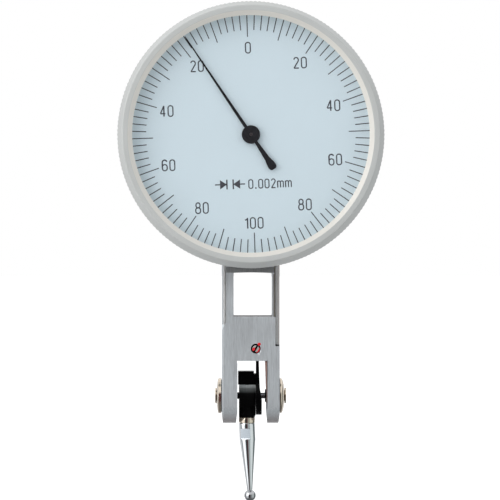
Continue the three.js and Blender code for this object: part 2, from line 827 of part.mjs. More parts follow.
// Crown shaft with its pinion, and the crown gear whose teeth face the arbor
function crownShaftSolid() {
  const shoulder = -pocketHalfWidth + runningFit;
  const shaft = turnedX([
    [0, shoulder - crownPivotLength], [crownPivotRadius, shoulder - crownPivotLength],
    [crownPivotRadius, shoulder], [crownShaftRadius, shoulder],
    [crownShaftRadius, transferRight], [0, transferRight],
  ], smallSides, midDepth);
  const teeth = alongX(
    gearOutline(pinionRadius, pinionTeeth, moduleOfPinion, -Math.PI / 2), transferLeft, transferRight);
  return shaft.add(teeth.translate([0, midDepth, 0]));
}
add('crown_shaft', crownShaftSolid(), screwSteel);

function crownGearSolid() {
  const root = crownPlane - dedendumShare * moduleOfCrown;
  const tip = crownPlane + addendumShare * moduleOfCrown;
  const pitch = 2 * Math.PI * crownRadius / crownTeeth;
  const bore = crownShaftRadius + seatFit;
  const outer = crownRadius + crownToothHalf;
  const inner = crownRadius - crownToothHalf;
  let gear = turnedX([
    [bore, root - crownDisc], [outer, root - crownDisc], [outer, root],
    [inner, root], [inner, root - crownDisc / 2], [bore, root - crownDisc / 2],
  ], partSides);
  const form = outline([
    [root - crownToothRoot, -toothRootShare * pitch], [root, -toothRootShare * pitch],
    [tip, -toothTipShare * pitch], [tip, toothTipShare * pitch],
    [root, toothRootShare * pitch], [root - crownToothRoot, toothRootShare * pitch],
  ]);
  const tooth = alongY(form, -outer * Math.cos(Math.PI / partSides), -inner);
  for (let i = 0; i < crownTeeth; i += 1) {
    gear = gear.add(tooth.rotate([(i + 0.5) * 360 / crownTeeth, 0, 0]));
  }
  return gear.translate([0, midDepth, 0]);
}
add('crown_gear', crownGearSolid(), brass);

// Transfer lever: a fork below its pin, a long arm above it and a toothed sector on top
function transferSolid() {
  const reach = transferDrop - contactDrop;
  const blade = outline([
    ...arc(0, 0, transferRootHalfWidth, Math.PI, 2 * Math.PI, arcSteps),
    [transferTipHalfWidth, sectorRadius - sectorRim],
    [sectorBehind, sectorRadius - sectorRim],
    ...sectorTeeth(),
    [-sectorAhead, sectorRadius - sectorRim],
    [-transferTipHalfWidth, sectorRadius - sectorRim],
  ]);
  const arm = alongX(blade, transferLeft, transferRight);
  const bush = turnedX(rod(transferBushRadius, transferForkLeft, transferRight), partSides);
  const foot = reach - armPinRadius;
  const forkOutline = outline([
    [-transferForkHalfWidth, 0], [transferForkHalfWidth, 0],
    [transferForkHalfWidth, foot - armTipMargin], [-transferForkHalfWidth, foot - armTipMargin],
  ]);
  const slotHalf = armPinRadius + pinPlay;
  const slot = block(
    [transferForkLeft - overrun, transferForkLeft + transferForkThickness + overrun],
    [-slotHalf, slotHalf], [foot - armTipMargin - overrun, reach + armPinRadius + pinPlay]);
  const fork = alongX(forkOutline, transferForkLeft, transferForkLeft + transferForkThickness);
  const bore = turnedX(
    rod(transferPinRadius + runningFit, transferForkLeft - overrun, transferRight + overrun), smallSides);
  return arm.add(bush).add(fork).subtract(slot).subtract(bore).translate([0, midDepth, transferZ]);
}

// The sector's teeth stand between sectorBehind and -sectorAhead, with a gap under the pinion
function sectorTeeth() {
  const root = sectorRadius - dedendumShare * moduleOfPinion;
  const tip = sectorRadius + addendumShare * moduleOfPinion;
  const step = Math.PI * moduleOfPinion / sectorRadius;
  const first = Math.floor(sectorBehind / (sectorRadius * step) - 1 / 2);
  const last = -Math.floor(sectorAhead / (sectorRadius * step) - 1 / 2) - 1;
  const points = [];
  for (let i = first; i >= last; i -= 1) {
    const centre = (i + 1 / 2) * step;
    const edges = [
      [root, toothRootShare], [tip, toothTipShare], [tip, -toothTipShare], [root, -toothRootShare],
    ];
    for (const [radius, share] of edges) {
      const angle = centre + share * step;
      points.push([radius * Math.sin(angle), radius * Math.cos(angle)]);
    }
  }
  return points;
}
add('transfer_lever', transferSolid(), brass);

// Shouldered pin of the transfer lever, its head let into the side cover
add('transfer_pin', turnedX([
  [0, chamberLeft - transferPinDepth], [transferPinRadius, chamberLeft - transferPinDepth],
  [transferPinRadius, frameHalfWidth - transferHeadDepth],
  [transferHeadRadius, frameHalfWidth - transferHeadDepth], [transferHeadRadius, frameHalfWidth],
  [0, frameHalfWidth],
], smallSides, midDepth, transferZ), screwSteel);

// Adjusting screw, the stop of the lever at rest
function adjustScrewSolid() {
  const seat = frameFront + adjustHeadDepth;
  const tip = midDepth - armTipHalfWidth - adjustTipGap;
  const body = turnedY([
    [0, frameFront], [adjustHeadRadius, frameFront], [adjustHeadRadius, seat],
    [adjustShankRadius, seat], [adjustShankRadius, tip], [0, tip],
  ], partSides);
  const slot = block(
    [-adjustHeadRadius - overrun, adjustHeadRadius + overrun],
    [frameFront - overrun, frameFront + screwSlotDepth], [-screwSlotWidth / 2, screwSlotWidth / 2]);
  return body.subtract(slot).rotate([0, -adjustSlotTurn, 0]).translate([adjustSide, 0, -adjustDrop]);
}
add('adjusting_screw', adjustScrewSolid(), blackOxide);

// Bearings in the fork's ears
function bearingSolid(face, side, flange) {
  const bore = axleRadius + runningFit;
  const shell = earBoreRadius - seatFit;
  const end = face + bearingLength;
  const profile = flange
    ? [[bore, face - flange], [bearingFlangeRadius, face - flange], [bearingFlangeRadius, face],
      [shell, face], [shell, end], [bore, end]]
    : tube(bore, shell, face, end);
  const bush = turnedX(profile, partSides, midDepth, pivotZ);
  return side < 0 ? bush.mirror([1, 0, 0]) : bush;
}
add('bearing_left', bearingSolid(forkLeft, -1, 0), ruby);
add('bearing_right', bearingSolid(forkRight, 1, bearingFlange), blackOxide);

// Domed caps with a slotted end screw in each
function capSolid(side) {
  const bore = endScrewRadius + seatFit;
  const spigot = earBoreRadius - seatFit;
  const base = frameHalfWidth;
  const dome = Array.from({ length: domeSteps + 1 }, (_, i) => {
    const radius = capRadius + (bore - capRadius) * (i / domeSteps) ** 2;
    const swell = Math.sqrt(1 - (radius / capRadius) ** 2);
    return [radius, base + capRim + (capDome - capRim) * swell];
  });
  const cap = turnedX([
    [bore, base - capSpigot], [spigot, base - capSpigot], [spigot, base],
    [capRadius - capRimEdge, base], [capRadius, base + capRimEdge], ...dome,
  ], partSides, midDepth, pivotZ);
  return side < 0 ? cap.mirror([1, 0, 0]) : cap;
}
function endScrewSolid(side) {
  const seat = frameHalfWidth + capDome;
  const start = axleHalfLength + endPlay;
  const face = seat + endScrewHead;
  const body = turnedX([
    [0, start], [endScrewRadius, start], [endScrewRadius, seat],
    [endScrewHeadRadius, seat], [endScrewHeadRadius, face], [0, face],
  ], partSides);
  const slot = block(
    [face - endSlotDepth, face + overrun], [-endScrewSlot / 2, endScrewSlot / 2],
    [-endScrewHeadRadius - overrun, endScrewHeadRadius + overrun]);
  const screw = body.subtract(slot.rotate([endSlotTurn, 0, 0])).translate([0, midDepth, pivotZ]);
  return side < 0 ? screw.mirror([1, 0, 0]) : screw;
}
for (const [name, side] of [['left', -1], ['right', 1]]) {
  add(`pivot_cap_${name}`, capSolid(side), nickel);
  add(`end_screw_${name}`, endScrewSolid(side), nickel);
}

// Lever: axle, arm, contact pin, clutch block and clutch collar
add('lever_axle', turnedX(rod(axleRadius, -axleHalfLength, axleHalfLength), partSides, midDepth, pivotZ),
  screwSteel);

function armSolid() {
  const top = pivotZ + armReach + armTipMargin;
  const foot = pivotZ - armEyeRadius;
  const shoulder = pivotZ + armShoulder;
  const side = outline([
    [-armRootHalfWidth, 0], [-armTipHalfWidth, top - pivotZ],
    [armTipHalfWidth, top - pivotZ], [armRootHalfWidth, 0],
  ]);
  const strap = alongX(side, armLeft, armRight + armEyeThickness).translate([0, midDepth, pivotZ]);
  const eye = turnedX(
    rod(armEyeRadius, armLeft, armRight + armEyeThickness), 2 * partSides, midDepth, pivotZ);
  const front = alongY(outline([
    [armLeft, foot - overrun], [armLeft + armEyeThickness, foot - overrun],
    [armLeft + armEyeThickness, pivotZ - axleRadius], [armRight + armTaper, shoulder],
    [armRight, shoulder + armTaperRun], [armRight, top + overrun], [armLeft, top + overrun],
  ]), midDepth - 2 * armEyeRadius, midDepth + 2 * armEyeRadius);
  const bore = turnedX(
    rod(axleRadius + seatFit, armLeft - overrun, armRight + armEyeThickness + overrun),
    partSides, midDepth, pivotZ);
  const pinBore = turnedX(
    rod(armPinRadius + seatFit, armLeft - overrun, armRight + overrun), smallSides, midDepth, contactZ);
  return strap.add(eye).intersect(front).subtract(bore).subtract(pinBore);
}
add('lever_arm', armSolid(), blackOxide);
add('contact_pin',
  turnedX(rod(armPinRadius, armLeft, armPinRight), smallSides, midDepth, contactZ), screwSteel);

function clutchBlockSolid() {
  const shape = block(
    [hubLeft - blockOverhang, armLeft], [midDepth - blockHalfDepth, midDepth + blockHalfDepth],
    [pivotZ + blockUnderside, pivotZ + blockTop]);
  const saddle = turnedX(
    rod(hubRadius + clutchFit, hubLeft - blockOverhang - overrun, armLeft + overrun),
    2 * partSides, midDepth, pivotZ);
  const screwHole = turnedZ(
    rod(clutchScrewRadius + screwFit, pivotZ + hubRadius, pivotZ + blockTop + overrun),
    smallSides, hubCentre, midDepth);
  return shape.subtract(saddle).subtract(screwHole);
}
add('clutch_block', clutchBlockSolid(), blackOxide);

function clutchScrewSolid() {
  const top = pivotZ + blockTop;
  const pin = turnedZ(
    rod(clutchScrewRadius, pivotZ + hubRadius + clutchFit, top), smallSides, hubCentre, midDepth);
  const slot = block(
    [hubCentre - clutchScrewRadius - overrun, hubCentre + clutchScrewRadius + overrun],
    [midDepth - screwSlotWidth / 2, midDepth + screwSlotWidth / 2],
    [top - screwSlotDepth, top + overrun]);
  return pin.subtract(slot);
}
add('clutch_screw', clutchScrewSolid(), blackOxide);

add('clutch_collar', turnedX(
  tube(axleRadius + seatFit, clutchCollarRadius, endPlay - forkLeft, hubLeft - clutchCollarGap),
  partSides, midDepth, pivotZ), blackOxide);

// Stylus pieces are drawn along the pivot's own upright
function underPivot(solid) {
  return solid.translate([hubCentre, midDepth, pivotZ]);
}

// The stylus itself leans a little where it meets its collar
const collarTop = -bossReach;
const collarFoot = collarTop - collarLength;
function lean(solid) {
  const turned = solid.translate([0, 0, -collarFoot]).rotate([0, -THREE.MathUtils.radToDeg(stylusLean), 0]);
  return underPivot(turned.translate([0, 0, collarFoot]));
}

function hubSolid() {
  const disc = turnedX(rod(hubRadius, hubLeft, hubRight), 2 * partSides, midDepth, pivotZ);
  const boss = underPivot(turnedZ(rod(bossRadius, -bossReach, 0), partSides));
  const socket = underPivot(turnedZ(
    rod(studRadius + studPlay, -bossReach - overrun, studLength + studPlay - bossReach), smallSides));
  const bore = turnedX(
    rod(axleRadius + runningFit, hubLeft - overrun, hubRight + overrun), partSides, midDepth, pivotZ);
  return disc.add(boss).subtract(bore).subtract(socket);
}
add('swivel_hub', hubSolid(), blackOxide);

add('stylus_collar', underPivot(turnedZ([
  [studRadius + studPlay, collarTop], [bossRadius - collarEdge, collarTop],
  [bossRadius, collarTop - collarEdge], [bossRadius, collarFoot], [studRadius + studPlay, collarFoot],
], partSides)), nickel);

function stylusSolid() {
  const shoulder = collarFoot - shoulderGap;
  const shankEnd = collarFoot - shankLength;
  const tip = -stylusReach + tipSeat + ballGap;
  const turned = turnedZ([
    [0, collarTop + studLength], [studRadius, collarTop + studLength], [studRadius, shoulder],
    [shankRadius, shoulder], [shankRadius, shankEnd], [tipRadius, tip], [0, tip],
  ], partSides);
  const flatTop = collarFoot - shankFlatDrop;
  const flatCut = block(
    [-shankRadius - overrun, shankRadius + overrun], [-shankRadius - overrun, -shankFlatHalf],
    [flatTop - shankFlatLength, flatTop]);
  return lean(turned.subtract(flatCut).subtract(flatCut.mirror([0, 1, 0])));
}
const tipSeat = Math.sqrt(ballRadius ** 2 - tipRadius ** 2);
add('stylus', stylusSolid(), chrome);

function ballSolid() {
  const top = Math.PI / 2 - Math.asin(tipRadius / ballRadius);
  const profile = arc(0, 0, ballRadius, -Math.PI / 2, top, ballSteps).map(([r, a], i) => [i ? r : 0, a]);
  return lean(turnedZ([...profile, [0, tipSeat]], partSides).translate([0, 0, -stylusReach]));
}
add('contact_ball', ballSolid(), carbide);

export default part;
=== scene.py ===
"""Dial test indicator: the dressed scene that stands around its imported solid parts.

Tables and plain numbers hold millimetres and degrees. Blender's own lengths are metres
and its angles radians, so they are multiplied by MM and DEGREE where a mesh is made.
X runs to the right as the dial is read, the dial faces -Y, and Z runs up from the
stylus to the dial.
"""

import json
import math
from contextlib import contextmanager

import bpy
from mathutils import Matrix, Vector


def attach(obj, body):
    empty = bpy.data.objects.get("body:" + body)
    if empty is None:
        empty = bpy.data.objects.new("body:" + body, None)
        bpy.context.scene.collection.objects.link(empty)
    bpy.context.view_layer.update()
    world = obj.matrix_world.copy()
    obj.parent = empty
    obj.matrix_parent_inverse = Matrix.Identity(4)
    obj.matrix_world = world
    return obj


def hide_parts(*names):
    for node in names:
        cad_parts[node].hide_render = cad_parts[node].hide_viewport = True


bl_info = {
    "name": "Dial Test Indicator",
    "version": (1, 0, 0),
    "blender": (4, 5, 0),
    "location": "View3D > Sidebar > Indicator",
    "description": "Models and finishes a lever-type dial test indicator, piece by piece",
    "category": "Object",
}

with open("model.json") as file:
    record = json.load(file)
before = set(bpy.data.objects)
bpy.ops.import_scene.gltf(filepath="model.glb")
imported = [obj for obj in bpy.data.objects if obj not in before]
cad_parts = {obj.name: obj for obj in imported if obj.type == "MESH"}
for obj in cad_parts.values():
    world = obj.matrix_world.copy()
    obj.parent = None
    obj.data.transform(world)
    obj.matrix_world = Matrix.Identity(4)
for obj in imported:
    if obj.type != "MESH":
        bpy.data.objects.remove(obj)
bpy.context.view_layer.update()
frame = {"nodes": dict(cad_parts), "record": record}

MM = 0.001
DEGREE = math.pi / 180
FULL_TURN = 2 * math.pi
MERGE_DISTANCE = 1e-7
SMOOTH_ANGLE = 32 * DEGREE
BEVEL_ANGLE = 30 * DEGREE
DISSOLVE_ANGLE = 0.5 * DEGREE
BUMP_DISTANCE = 0.02 * MM
STRIP_SOFTNESS = 0.02
ROUND_SIDES = 160

# The direction of each axis, and the turn that lays a circle square to it
AXES = {
    "X": (Vector((1, 0, 0)), (0, math.pi / 2, 0)),
    "Y": (Vector((0, 1, 0)), (-math.pi / 2, 0, 0)),
    "Z": (Vector((0, 0, 1)), (0, 0, 0)),
}

# Places on the object
ORIGIN = (0, 0, 0)
PIVOT = (0, -4, -39.7)
HUB_CENTRE = (-0.57, -4, -39.7)
LEAN_POINT = (-0.57, -4, -44.2)
ADJUSTER = (0.76, -8, -32.25)
BAR_FRONT = -8
BEZEL_RADIUS = 20
BEZEL_REAR = -9.4
KNURLED = (-12.7, -9.7)
CRYSTAL_FRONT = -14.35
CRYSTAL_REAR = -13.65
DIAL_FACE = -12.5
FLOOR_Z = -56.0


def srgb(red, green, blue):
    """A colour as seen on screen, 0 to 255, in the linear numbers that Blender keeps."""

    def linear(value):
        share = value / 255
        return share / 12.92 if share <= 0.04045 else ((share + 0.055) / 1.055) ** 2.4

    return (linear(red), linear(green), linear(blue))


# Settings


def length(label, text, default):
    """A length property whose default is written in millimetres."""
    return bpy.props.FloatProperty(
        name=label, description=text, default=default * MM, unit="LENGTH", precision=5
    )


def angle(label, text, default):
    """An angle property whose default is written in degrees."""
    return bpy.props.FloatProperty(
        name=label, description=text, default=default * DEGREE, subtype="ANGLE", unit="ROTATION"
    )


def colour(label, text, *levels):
    """A colour property whose default is written as seen on screen."""
    return bpy.props.FloatVectorProperty(
        name=label, description=text, default=srgb(*levels), subtype="COLOR", size=3, min=0, max=1
    )


class IndicatorSizes(bpy.types.PropertyGroup):
    """Sizes of the indicator that a user may change."""

    knurl_teeth: bpy.props.IntProperty(
        name="Knurl teeth", description="Teeth of the knurl round the bezel", default=192, min=24
    )
    knurl_depth: length("Knurl depth", "Depth of the knurl's grooves", 0.07)
    edge_bevel: length("Edge bevel", "Width of the broken edges of the bar", 0.09)
    dial_turn: angle("Dial turn", "How far the dial is turned anticlockwise", 2)
    tick_width: length("Line width", "Width of the dial's graduation lines", 0.14)
    tick_outer: length("Line end", "Radius at which the graduation lines end", 17.97)
    short_tick: length("Short line", "Radius at which a short line starts", 15.67)
    long_tick: length("Long line", "Radius at which every fifth line starts", 14.65)
    numeral_height: length("Numeral height", "Height of the dial's numerals", 1.8)
    numeral_radius: length("Numeral radius", "Radius of the numerals' middles", 13.12)
    pointer_angle: angle("Pointer angle", "Pointer's angle anticlockwise from upright", 34)
    pointer_length: length("Pointer length", "Pointer from its centre to its tip", 17.6)
    pointer_tail: length("Pointer tail", "Pointer from its centre to its tail end", 6.2)
    stylus_lean: angle("Stylus lean", "How far the stylus leans at its collar", 2.5)


class IndicatorColours(bpy.types.PropertyGroup):
    """Colours of the indicator's finishes."""

    bar_steel: colour("Bar steel", "Brushed steel of the bar", 196, 201, 205)
    rail_steel: colour("Rail steel", "Ground steel of the right-hand rail", 172, 168, 165)
    satin_chrome: colour("Satin chrome", "Bezel and case", 188, 190, 189)
    screw_steel: colour("Screw steel", "Turned steel of small screws and pins", 120, 122, 126)
    spring_steel: colour("Spring steel", "Blued steel of the springs", 92, 97, 106)
    spacer_cream: colour("Spacer cream", "Ring between crystal and dial", 238, 234, 226)
    dial_white: colour("Dial white", "Pale bluish enamel of the dial", 204, 219, 227)
    dial_ink: colour("Dial ink", "Printing on the dial", 62, 64, 72)
    brass: colour("Brass", "Brass parts of the movement", 186, 156, 88)
    ruby: colour("Ruby", "Jewels", 176, 23, 63)
    pointer_black: colour("Pointer black", "Matt black of the pointer", 24, 27, 32)
    black_oxide: colour("Black oxide", "Blackened steel of the lever", 4, 4, 5)
    nickel: colour("Nickel", "Warm nickel of the pivot caps", 214, 202, 186)
    polished_chrome: colour("Polished chrome", "Stylus", 222, 225, 228)
    carbide: colour("Carbide", "Contact ball", 176, 178, 181)
    red_lacquer: colour("Red lacquer", "Locking lacquer at the adjusting screw", 214, 28, 36)


def sizes():
    return bpy.context.scene.indicator_sizes


def in_mm(*names):
    """Lengths among the sizes, in millimetres."""
    return [getattr(sizes(), name) / MM for name in names]


# Modelling


def metres(point):
    return Vector(point) * MM


def deselect():
    if bpy.context.mode != "OBJECT":
        bpy.ops.object.mode_set(mode="OBJECT")
    bpy.ops.object.select_all(action="DESELECT")


def choose(piece):
    """Makes one piece the only one selected, and the active one."""
    deselect()
    piece.select_set(True)
    bpy.context.view_layer.objects.active = piece


@contextmanager
def editing(piece):
    """Edit mode, with all of one piece selected."""
    choose(piece)
    bpy.ops.object.mode_set(mode="EDIT")
    bpy.ops.mesh.select_all(action="SELECT")
    yield
    bpy.ops.object.mode_set(mode="OBJECT")


def settle(piece):
    """Puts a piece's place into its mesh, so that its object sits at the origin."""
    choose(piece)
    bpy.ops.object.transform_apply(location=True, rotation=True, scale=True)
    return piece


def named(name):
    """The active piece, under its new name."""
    piece = bpy.context.active_object
    piece.name = piece.data.name = name
    return piece


def clean(piece, outward=True):
    """Merges doubles and points the faces outwards."""
    with editing(piece):
        bpy.ops.mesh.remove_doubles(threshold=MERGE_DISTANCE)
        if outward:
            bpy.ops.mesh.normals_make_consistent(inside=False)
    return piece


def modified(piece, label, kind, **settings):
    """Gives a piece a modifier and applies it."""
    choose(piece)
    modifier = piece.modifiers.new(label, kind)
    for key, value in settings.items():
        setattr(modifier, key, value)
    bpy.ops.object.modifier_apply(modifier=modifier.name)
    return piece


def bevelled(piece, width, segments=2):
    """Breaks the sharp edges of a piece."""
    return modified(piece, "Broken edges", "BEVEL", width=width * MM, segments=segments,
                    limit_method="ANGLE", angle_limit=BEVEL_ANGLE, use_clamp_overlap=True)


def smoothed(piece, weighted=True):
    """Smooth shading up to an angle, with normals that follow the larger faces."""
    choose(piece)
    bpy.ops.object.shade_smooth_by_angle(angle=SMOOTH_ANGLE)
    if weighted:
        modified(piece, "Face normals", "WEIGHTED_NORMAL", keep_sharp=True, weight=50)
    return piece


def turned(name, axis, profile, sides, centre=ORIGIN, hollow=False):
    """A piece turned on a lathe.

    A circle is drawn at the profile's first point, then extruded and scaled from
    point to point. profile holds (radius, place along the axis). A hollow piece
    comes back to its first point, and a solid one is closed by flat ends, or by a
    pole where its last radius is 0.
    """
    along, turn = AXES[axis]
    deselect()
    radius, spot = profile[0]
    bpy.ops.mesh.primitive_circle_add(
        vertices=sides, radius=radius * MM, fill_type="NOTHING" if hollow else "NGON",
        location=metres(centre) + along * spot * MM, rotation=turn,
    )
    piece = settle(named(name))
    with editing(piece):
        for next_radius, next_spot in profile[1:] + ([profile[0]] if hollow else []):
            bpy.ops.mesh.extrude_region_move(
                TRANSFORM_OT_translate={"value": along * (next_spot - spot) * MM}
            )
            if next_radius == 0:
                bpy.ops.mesh.merge(type="CENTER")
                break
            if next_radius != radius:
                bpy.ops.transform.resize(
                    value=[next_radius / radius] * 3,
                    center_override=metres(centre) + along * next_spot * MM,
                )
            radius, spot = next_radius, next_spot
    return clean(piece)


def plate(name, outline, axis, low, high):
    """A flat piece cut to an outline of (u, v) points, from low to high along the axis.

    For X the outline is (y, z), for Y it is (x, z) and for Z it is (x, y).
    """
    deselect()
    bpy.ops.mesh.primitive_circle_add(vertices=len(outline), radius=MM, fill_type="NGON")
    piece = named(name)
    for vertex, (u, v) in zip(piece.data.vertices, outline):
        vertex.co = metres({"X": (low, u, v), "Y": (u, low, v), "Z": (u, v, low)}[axis])
    with editing(piece):
        bpy.ops.mesh.extrude_region_move(
            TRANSFORM_OT_translate={"value": AXES[axis][0] * (high - low) * MM}
        )
    return clean(piece)


def box(name, low, high):
    """A block between two corners."""
    deselect()
    middle = [(a + b) / 2 for a, b in zip(low, high)]
    size = [b - a for a, b in zip(low, high)]
    bpy.ops.mesh.primitive_cube_add(size=1, location=metres(middle), scale=metres(size))
    return settle(named(name))


def place(piece, turn=0, about="Z", move=ORIGIN, centre=ORIGIN):
    """Turns a piece about a line through centre, moves it, and puts both into its mesh."""
    there = Matrix.Translation(metres(centre))
    turned_by = there @ Matrix.Rotation(turn, 4, about) @ there.inverted()
    piece.matrix_world = Matrix.Translation(metres(move)) @ turned_by
    return settle(piece)


def combine(piece, other, operation="UNION"):
    """Joins other on to piece, or cuts it out, and takes other away."""
    modified(piece, "Cut", "BOOLEAN", operation=operation, solver="EXACT", object=other)
    bpy.data.objects.remove(other)
    return piece


def cut(piece, *tools):
    for tool in tools:
        combine(piece, tool, "DIFFERENCE")
    return piece


def copied(piece, name):
    """A copy with its own mesh."""
    choose(piece)
    bpy.ops.object.duplicate()
    return named(name)


def joined(name, *parts):
    choose(parts[0])
    for part in parts:
        part.select_set(True)
    bpy.ops.object.join()
    return named(name)


def from_node(node_name, name):
    """A copy of a CAD node with its doubles merged and its flat faces made whole."""
    piece = copied(frame["nodes"][node_name], name)
    for key in [k for k in piece.keys() if k.startswith("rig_")]:
        del piece[key]
    piece.parent = None
    clean(piece, outward=False)
    with editing(piece):
        bpy.ops.mesh.dissolve_limited(angle_limit=DISSOLVE_ANGLE)
    return piece


def fitted(piece, body, slot_name, *nodes, finish=None):
    """Gives a piece its material, the body it rides on and the nodes it stands for."""
    piece.data.materials.clear()
    piece.data.materials.append(material(finish or slot_name))
    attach(piece, body)
    if nodes:
        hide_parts(*nodes)


# Shader nodes; those that make one node give back its output socket


def wire(tree, made, inputs):
    """Gives a node's inputs their values, or links them to sockets."""
    for key, value in inputs.items():
        if isinstance(value, bpy.types.NodeSocket):
            tree.links.new(value, made.inputs[key])
        else:
            made.inputs[key].default_value = value


def node(tree, kind, inputs=None, **settings):
    """A new node, with its settings and its inputs."""
    made = tree.nodes.new(kind)
    for key, value in settings.items():
        setattr(made, key, value)
    wire(tree, made, inputs or {})
    return made


def maths(tree, operation, *values, **settings):
    """A sum of plain values."""
    return node(tree, "ShaderNodeMath", dict(enumerate(values)), operation=operation,
                **settings).outputs[0]


def vectors(tree, operation, *values):
    """A sum of vectors. A length and a dot product come out as plain values."""
    keys = (0, "Scale") if operation == "SCALE" else range(len(values))
    made = node(tree, "ShaderNodeVectorMath", dict(zip(keys, values)), operation=operation)
    return made.outputs[1 if operation in ("LENGTH", "DOT_PRODUCT") else 0]


def parted(tree, vector):
    """A vector's three numbers."""
    return node(tree, "ShaderNodeSeparateXYZ", {0: vector}).outputs


def noise(tree, where, scale=1, detail=3, roughness=0.6, distortion=0, **settings):
    inputs = {"Vector": where, "Scale": scale, "Detail": detail, "Roughness": roughness,
              "Distortion": distortion}
    return node(tree, "ShaderNodeTexNoise", inputs, **settings).outputs[0]


def between(tree, value, low, high):
    """0 where value is low, 1 where it is high, and even steps between them."""
    return node(tree, "ShaderNodeMapRange", {0: value, 1: low, 2: high}).outputs[0]


def mixed(tree, share, first, second):
    return node(tree, "ShaderNodeMix", {0: share, 2: first, 3: second}).outputs[0]


def blended(tree, share, first, second):
    """Two colours mixed."""
    return node(tree, "ShaderNodeMix", {0: share, 6: first, 7: second},
                data_type="RGBA").outputs[2]


def light_path(tree, *rays):
    """1 for rays of the kinds named, and 0 for the others."""
    outputs = node(tree, "ShaderNodeLightPath").outputs
    seen = outputs[f"Is {rays[0]} Ray"]
    for ray in rays[1:]:
        seen = maths(tree, "MAXIMUM", seen, outputs[f"Is {ray} Ray"])
    return seen


def shader_choice(tree, share, first, second):
    """One shader where share is 0, and the other where it is 1."""
    return node(tree, "ShaderNodeMixShader", {0: share, 1: first, 2: second}).outputs[0]


def plain_material(name):
    """A new material's tree and its shader."""
    made = bpy.data.materials.new(name)
    made.use_nodes = True
    return made.node_tree, made.node_tree.nodes["Principled BSDF"]


# Shader groups

VALUE, VECTOR, COLOUR = "NodeSocketFloat", "NodeSocketVector", "NodeSocketColor"
GREY = (0.5, 0.5, 0.5, 1)


def shader_group(name, inputs, outputs):
    """Turns a function that wires a group into one that builds the group only once.

    inputs holds each label with its default, and outputs each label with its kind. The
    function is given the tree and the inputs' sockets, and gives back the outputs'.
    """

    def kind_of(default):
        if not isinstance(default, tuple):
            return VALUE
        return VECTOR if len(default) == 3 else COLOUR

    def wrap(wire_group):
        def built():
            if name in bpy.data.node_groups:
                return bpy.data.node_groups[name]
            tree = bpy.data.node_groups.new(name, "ShaderNodeTree")
            for label, default in inputs.items():
                socket = tree.interface.new_socket(name=label, in_out="INPUT",
                                                   socket_type=kind_of(default))
                socket.default_value = default
            for label, kind in outputs.items():
                tree.interface.new_socket(name=label, in_out="OUTPUT", socket_type=kind)
            start = node(tree, "NodeGroupInput")
            end = node(tree, "NodeGroupOutput")
            results = wire_group(tree, *start.outputs[:len(inputs)])
            wire(tree, end, dict(zip(outputs, results)))
            return tree

        return built

    return wrap


def placed(tree, group, inputs):
    """The outputs of a group that is placed in a material with its own values."""
    return node(tree, "ShaderNodeGroup", inputs, node_tree=group()).outputs


@shader_group("Streaks", {"Vector": ORIGIN, "Stretch": (1, 1, 1), "Fine": 3.1}, {"Value": VALUE})
def streaks(tree, where, stretch, fine):
    """Long fine scratches: noise stretched along one axis, at two widths."""
    wide = vectors(tree, "MULTIPLY", where, stretch)
    narrow = vectors(tree, "SCALE", wide, fine)
    return [mixed(tree, 0.5, noise(tree, wide), noise(tree, narrow, detail=2, roughness=0.5))]


@shader_group("Turning marks", {"Vector": ORIGIN, "Centre": ORIGIN, "Plane": (1, 0, 1),
                                "Density": 5000}, {"Value": VALUE})
def turning_marks(tree, where, centre, plane, density):
    """Fine rings left by the lathe: noise over the radius and the place along the axis."""
    moved = vectors(tree, "SUBTRACT", where, centre)
    across = vectors(tree, "MULTIPLY", moved, plane)
    depth = vectors(tree, "DOT_PRODUCT", vectors(tree, "SUBTRACT", moved, across), (1, 1, 1))
    spot = node(tree, "ShaderNodeCombineXYZ", {0: vectors(tree, "LENGTH", across), 1: depth})
    return [noise(tree, spot.outputs[0], density, noise_dimensions="2D")]


@shader_group("Blotches", {"Vector": ORIGIN, "Density": 200}, {"Value": VALUE})
def blotches(tree, where, density):
    """Soft uneven patches, such as handling marks."""
    return [between(tree, noise(tree, where, density, 4, 0.55, 0.4), 0.3, 0.7)]


@shader_group("Edge wear", {"Vector": ORIGIN, "Radius": 0.1 * MM, "Amount": 0.5}, {"Mask": VALUE})
def edge_wear(tree, where, radius, amount):
    """A mask of a solid's edges, broken up by noise, where a finish wears first."""
    rounded = node(tree, "ShaderNodeBevel", {"Radius": radius}, samples=4).outputs[0]
    normal = node(tree, "ShaderNodeNewGeometry").outputs["Normal"]
    edge = between(tree, vectors(tree, "DOT_PRODUCT", rounded, normal), 0.995, 0.86)
    broken = between(tree, noise(tree, where, 2500, 3, 0.7), 0.35, 0.65)
    both = maths(tree, "MULTIPLY", edge, broken)
    return [maths(tree, "MULTIPLY", both, amount, use_clamp=True)]


@shader_group("Strip", {"Vector": ORIGIN, "Low": ORIGIN, "High": ORIGIN,
                        "Softness": STRIP_SOFTNESS * MM}, {"Mask": VALUE})
def strip(tree, where, low, high, softness):
    """A mask of the part of a surface that lies in a box between two corners, where a finish paints
    light or shade.
    """
    above, below = vectors(tree, "SUBTRACT", where, low), vectors(tree, "SUBTRACT", high, where)
    x, y, z = parted(tree, vectors(tree, "MINIMUM", above, below))
    inside = maths(tree, "MINIMUM", maths(tree, "MINIMUM", x, y), z)
    return [between(tree, inside, 0, softness)]


@shader_group("Lip", {"Vector": ORIGIN, "Radius": 18 * MM, "Front": -14.6 * MM}, {"Mask": VALUE})
def lip_mask(tree, where, radius, front):
    """A mask of what lies within a radius of the dial's axis and in front of a depth."""
    reach = vectors(tree, "LENGTH", vectors(tree, "MULTIPLY", where, (1, 0, 1)))
    within = maths(tree, "LESS_THAN", reach, radius)
    ahead = maths(tree, "LESS_THAN", parted(tree, where)[1], front)
    return [maths(tree, "MULTIPLY", within, ahead)]


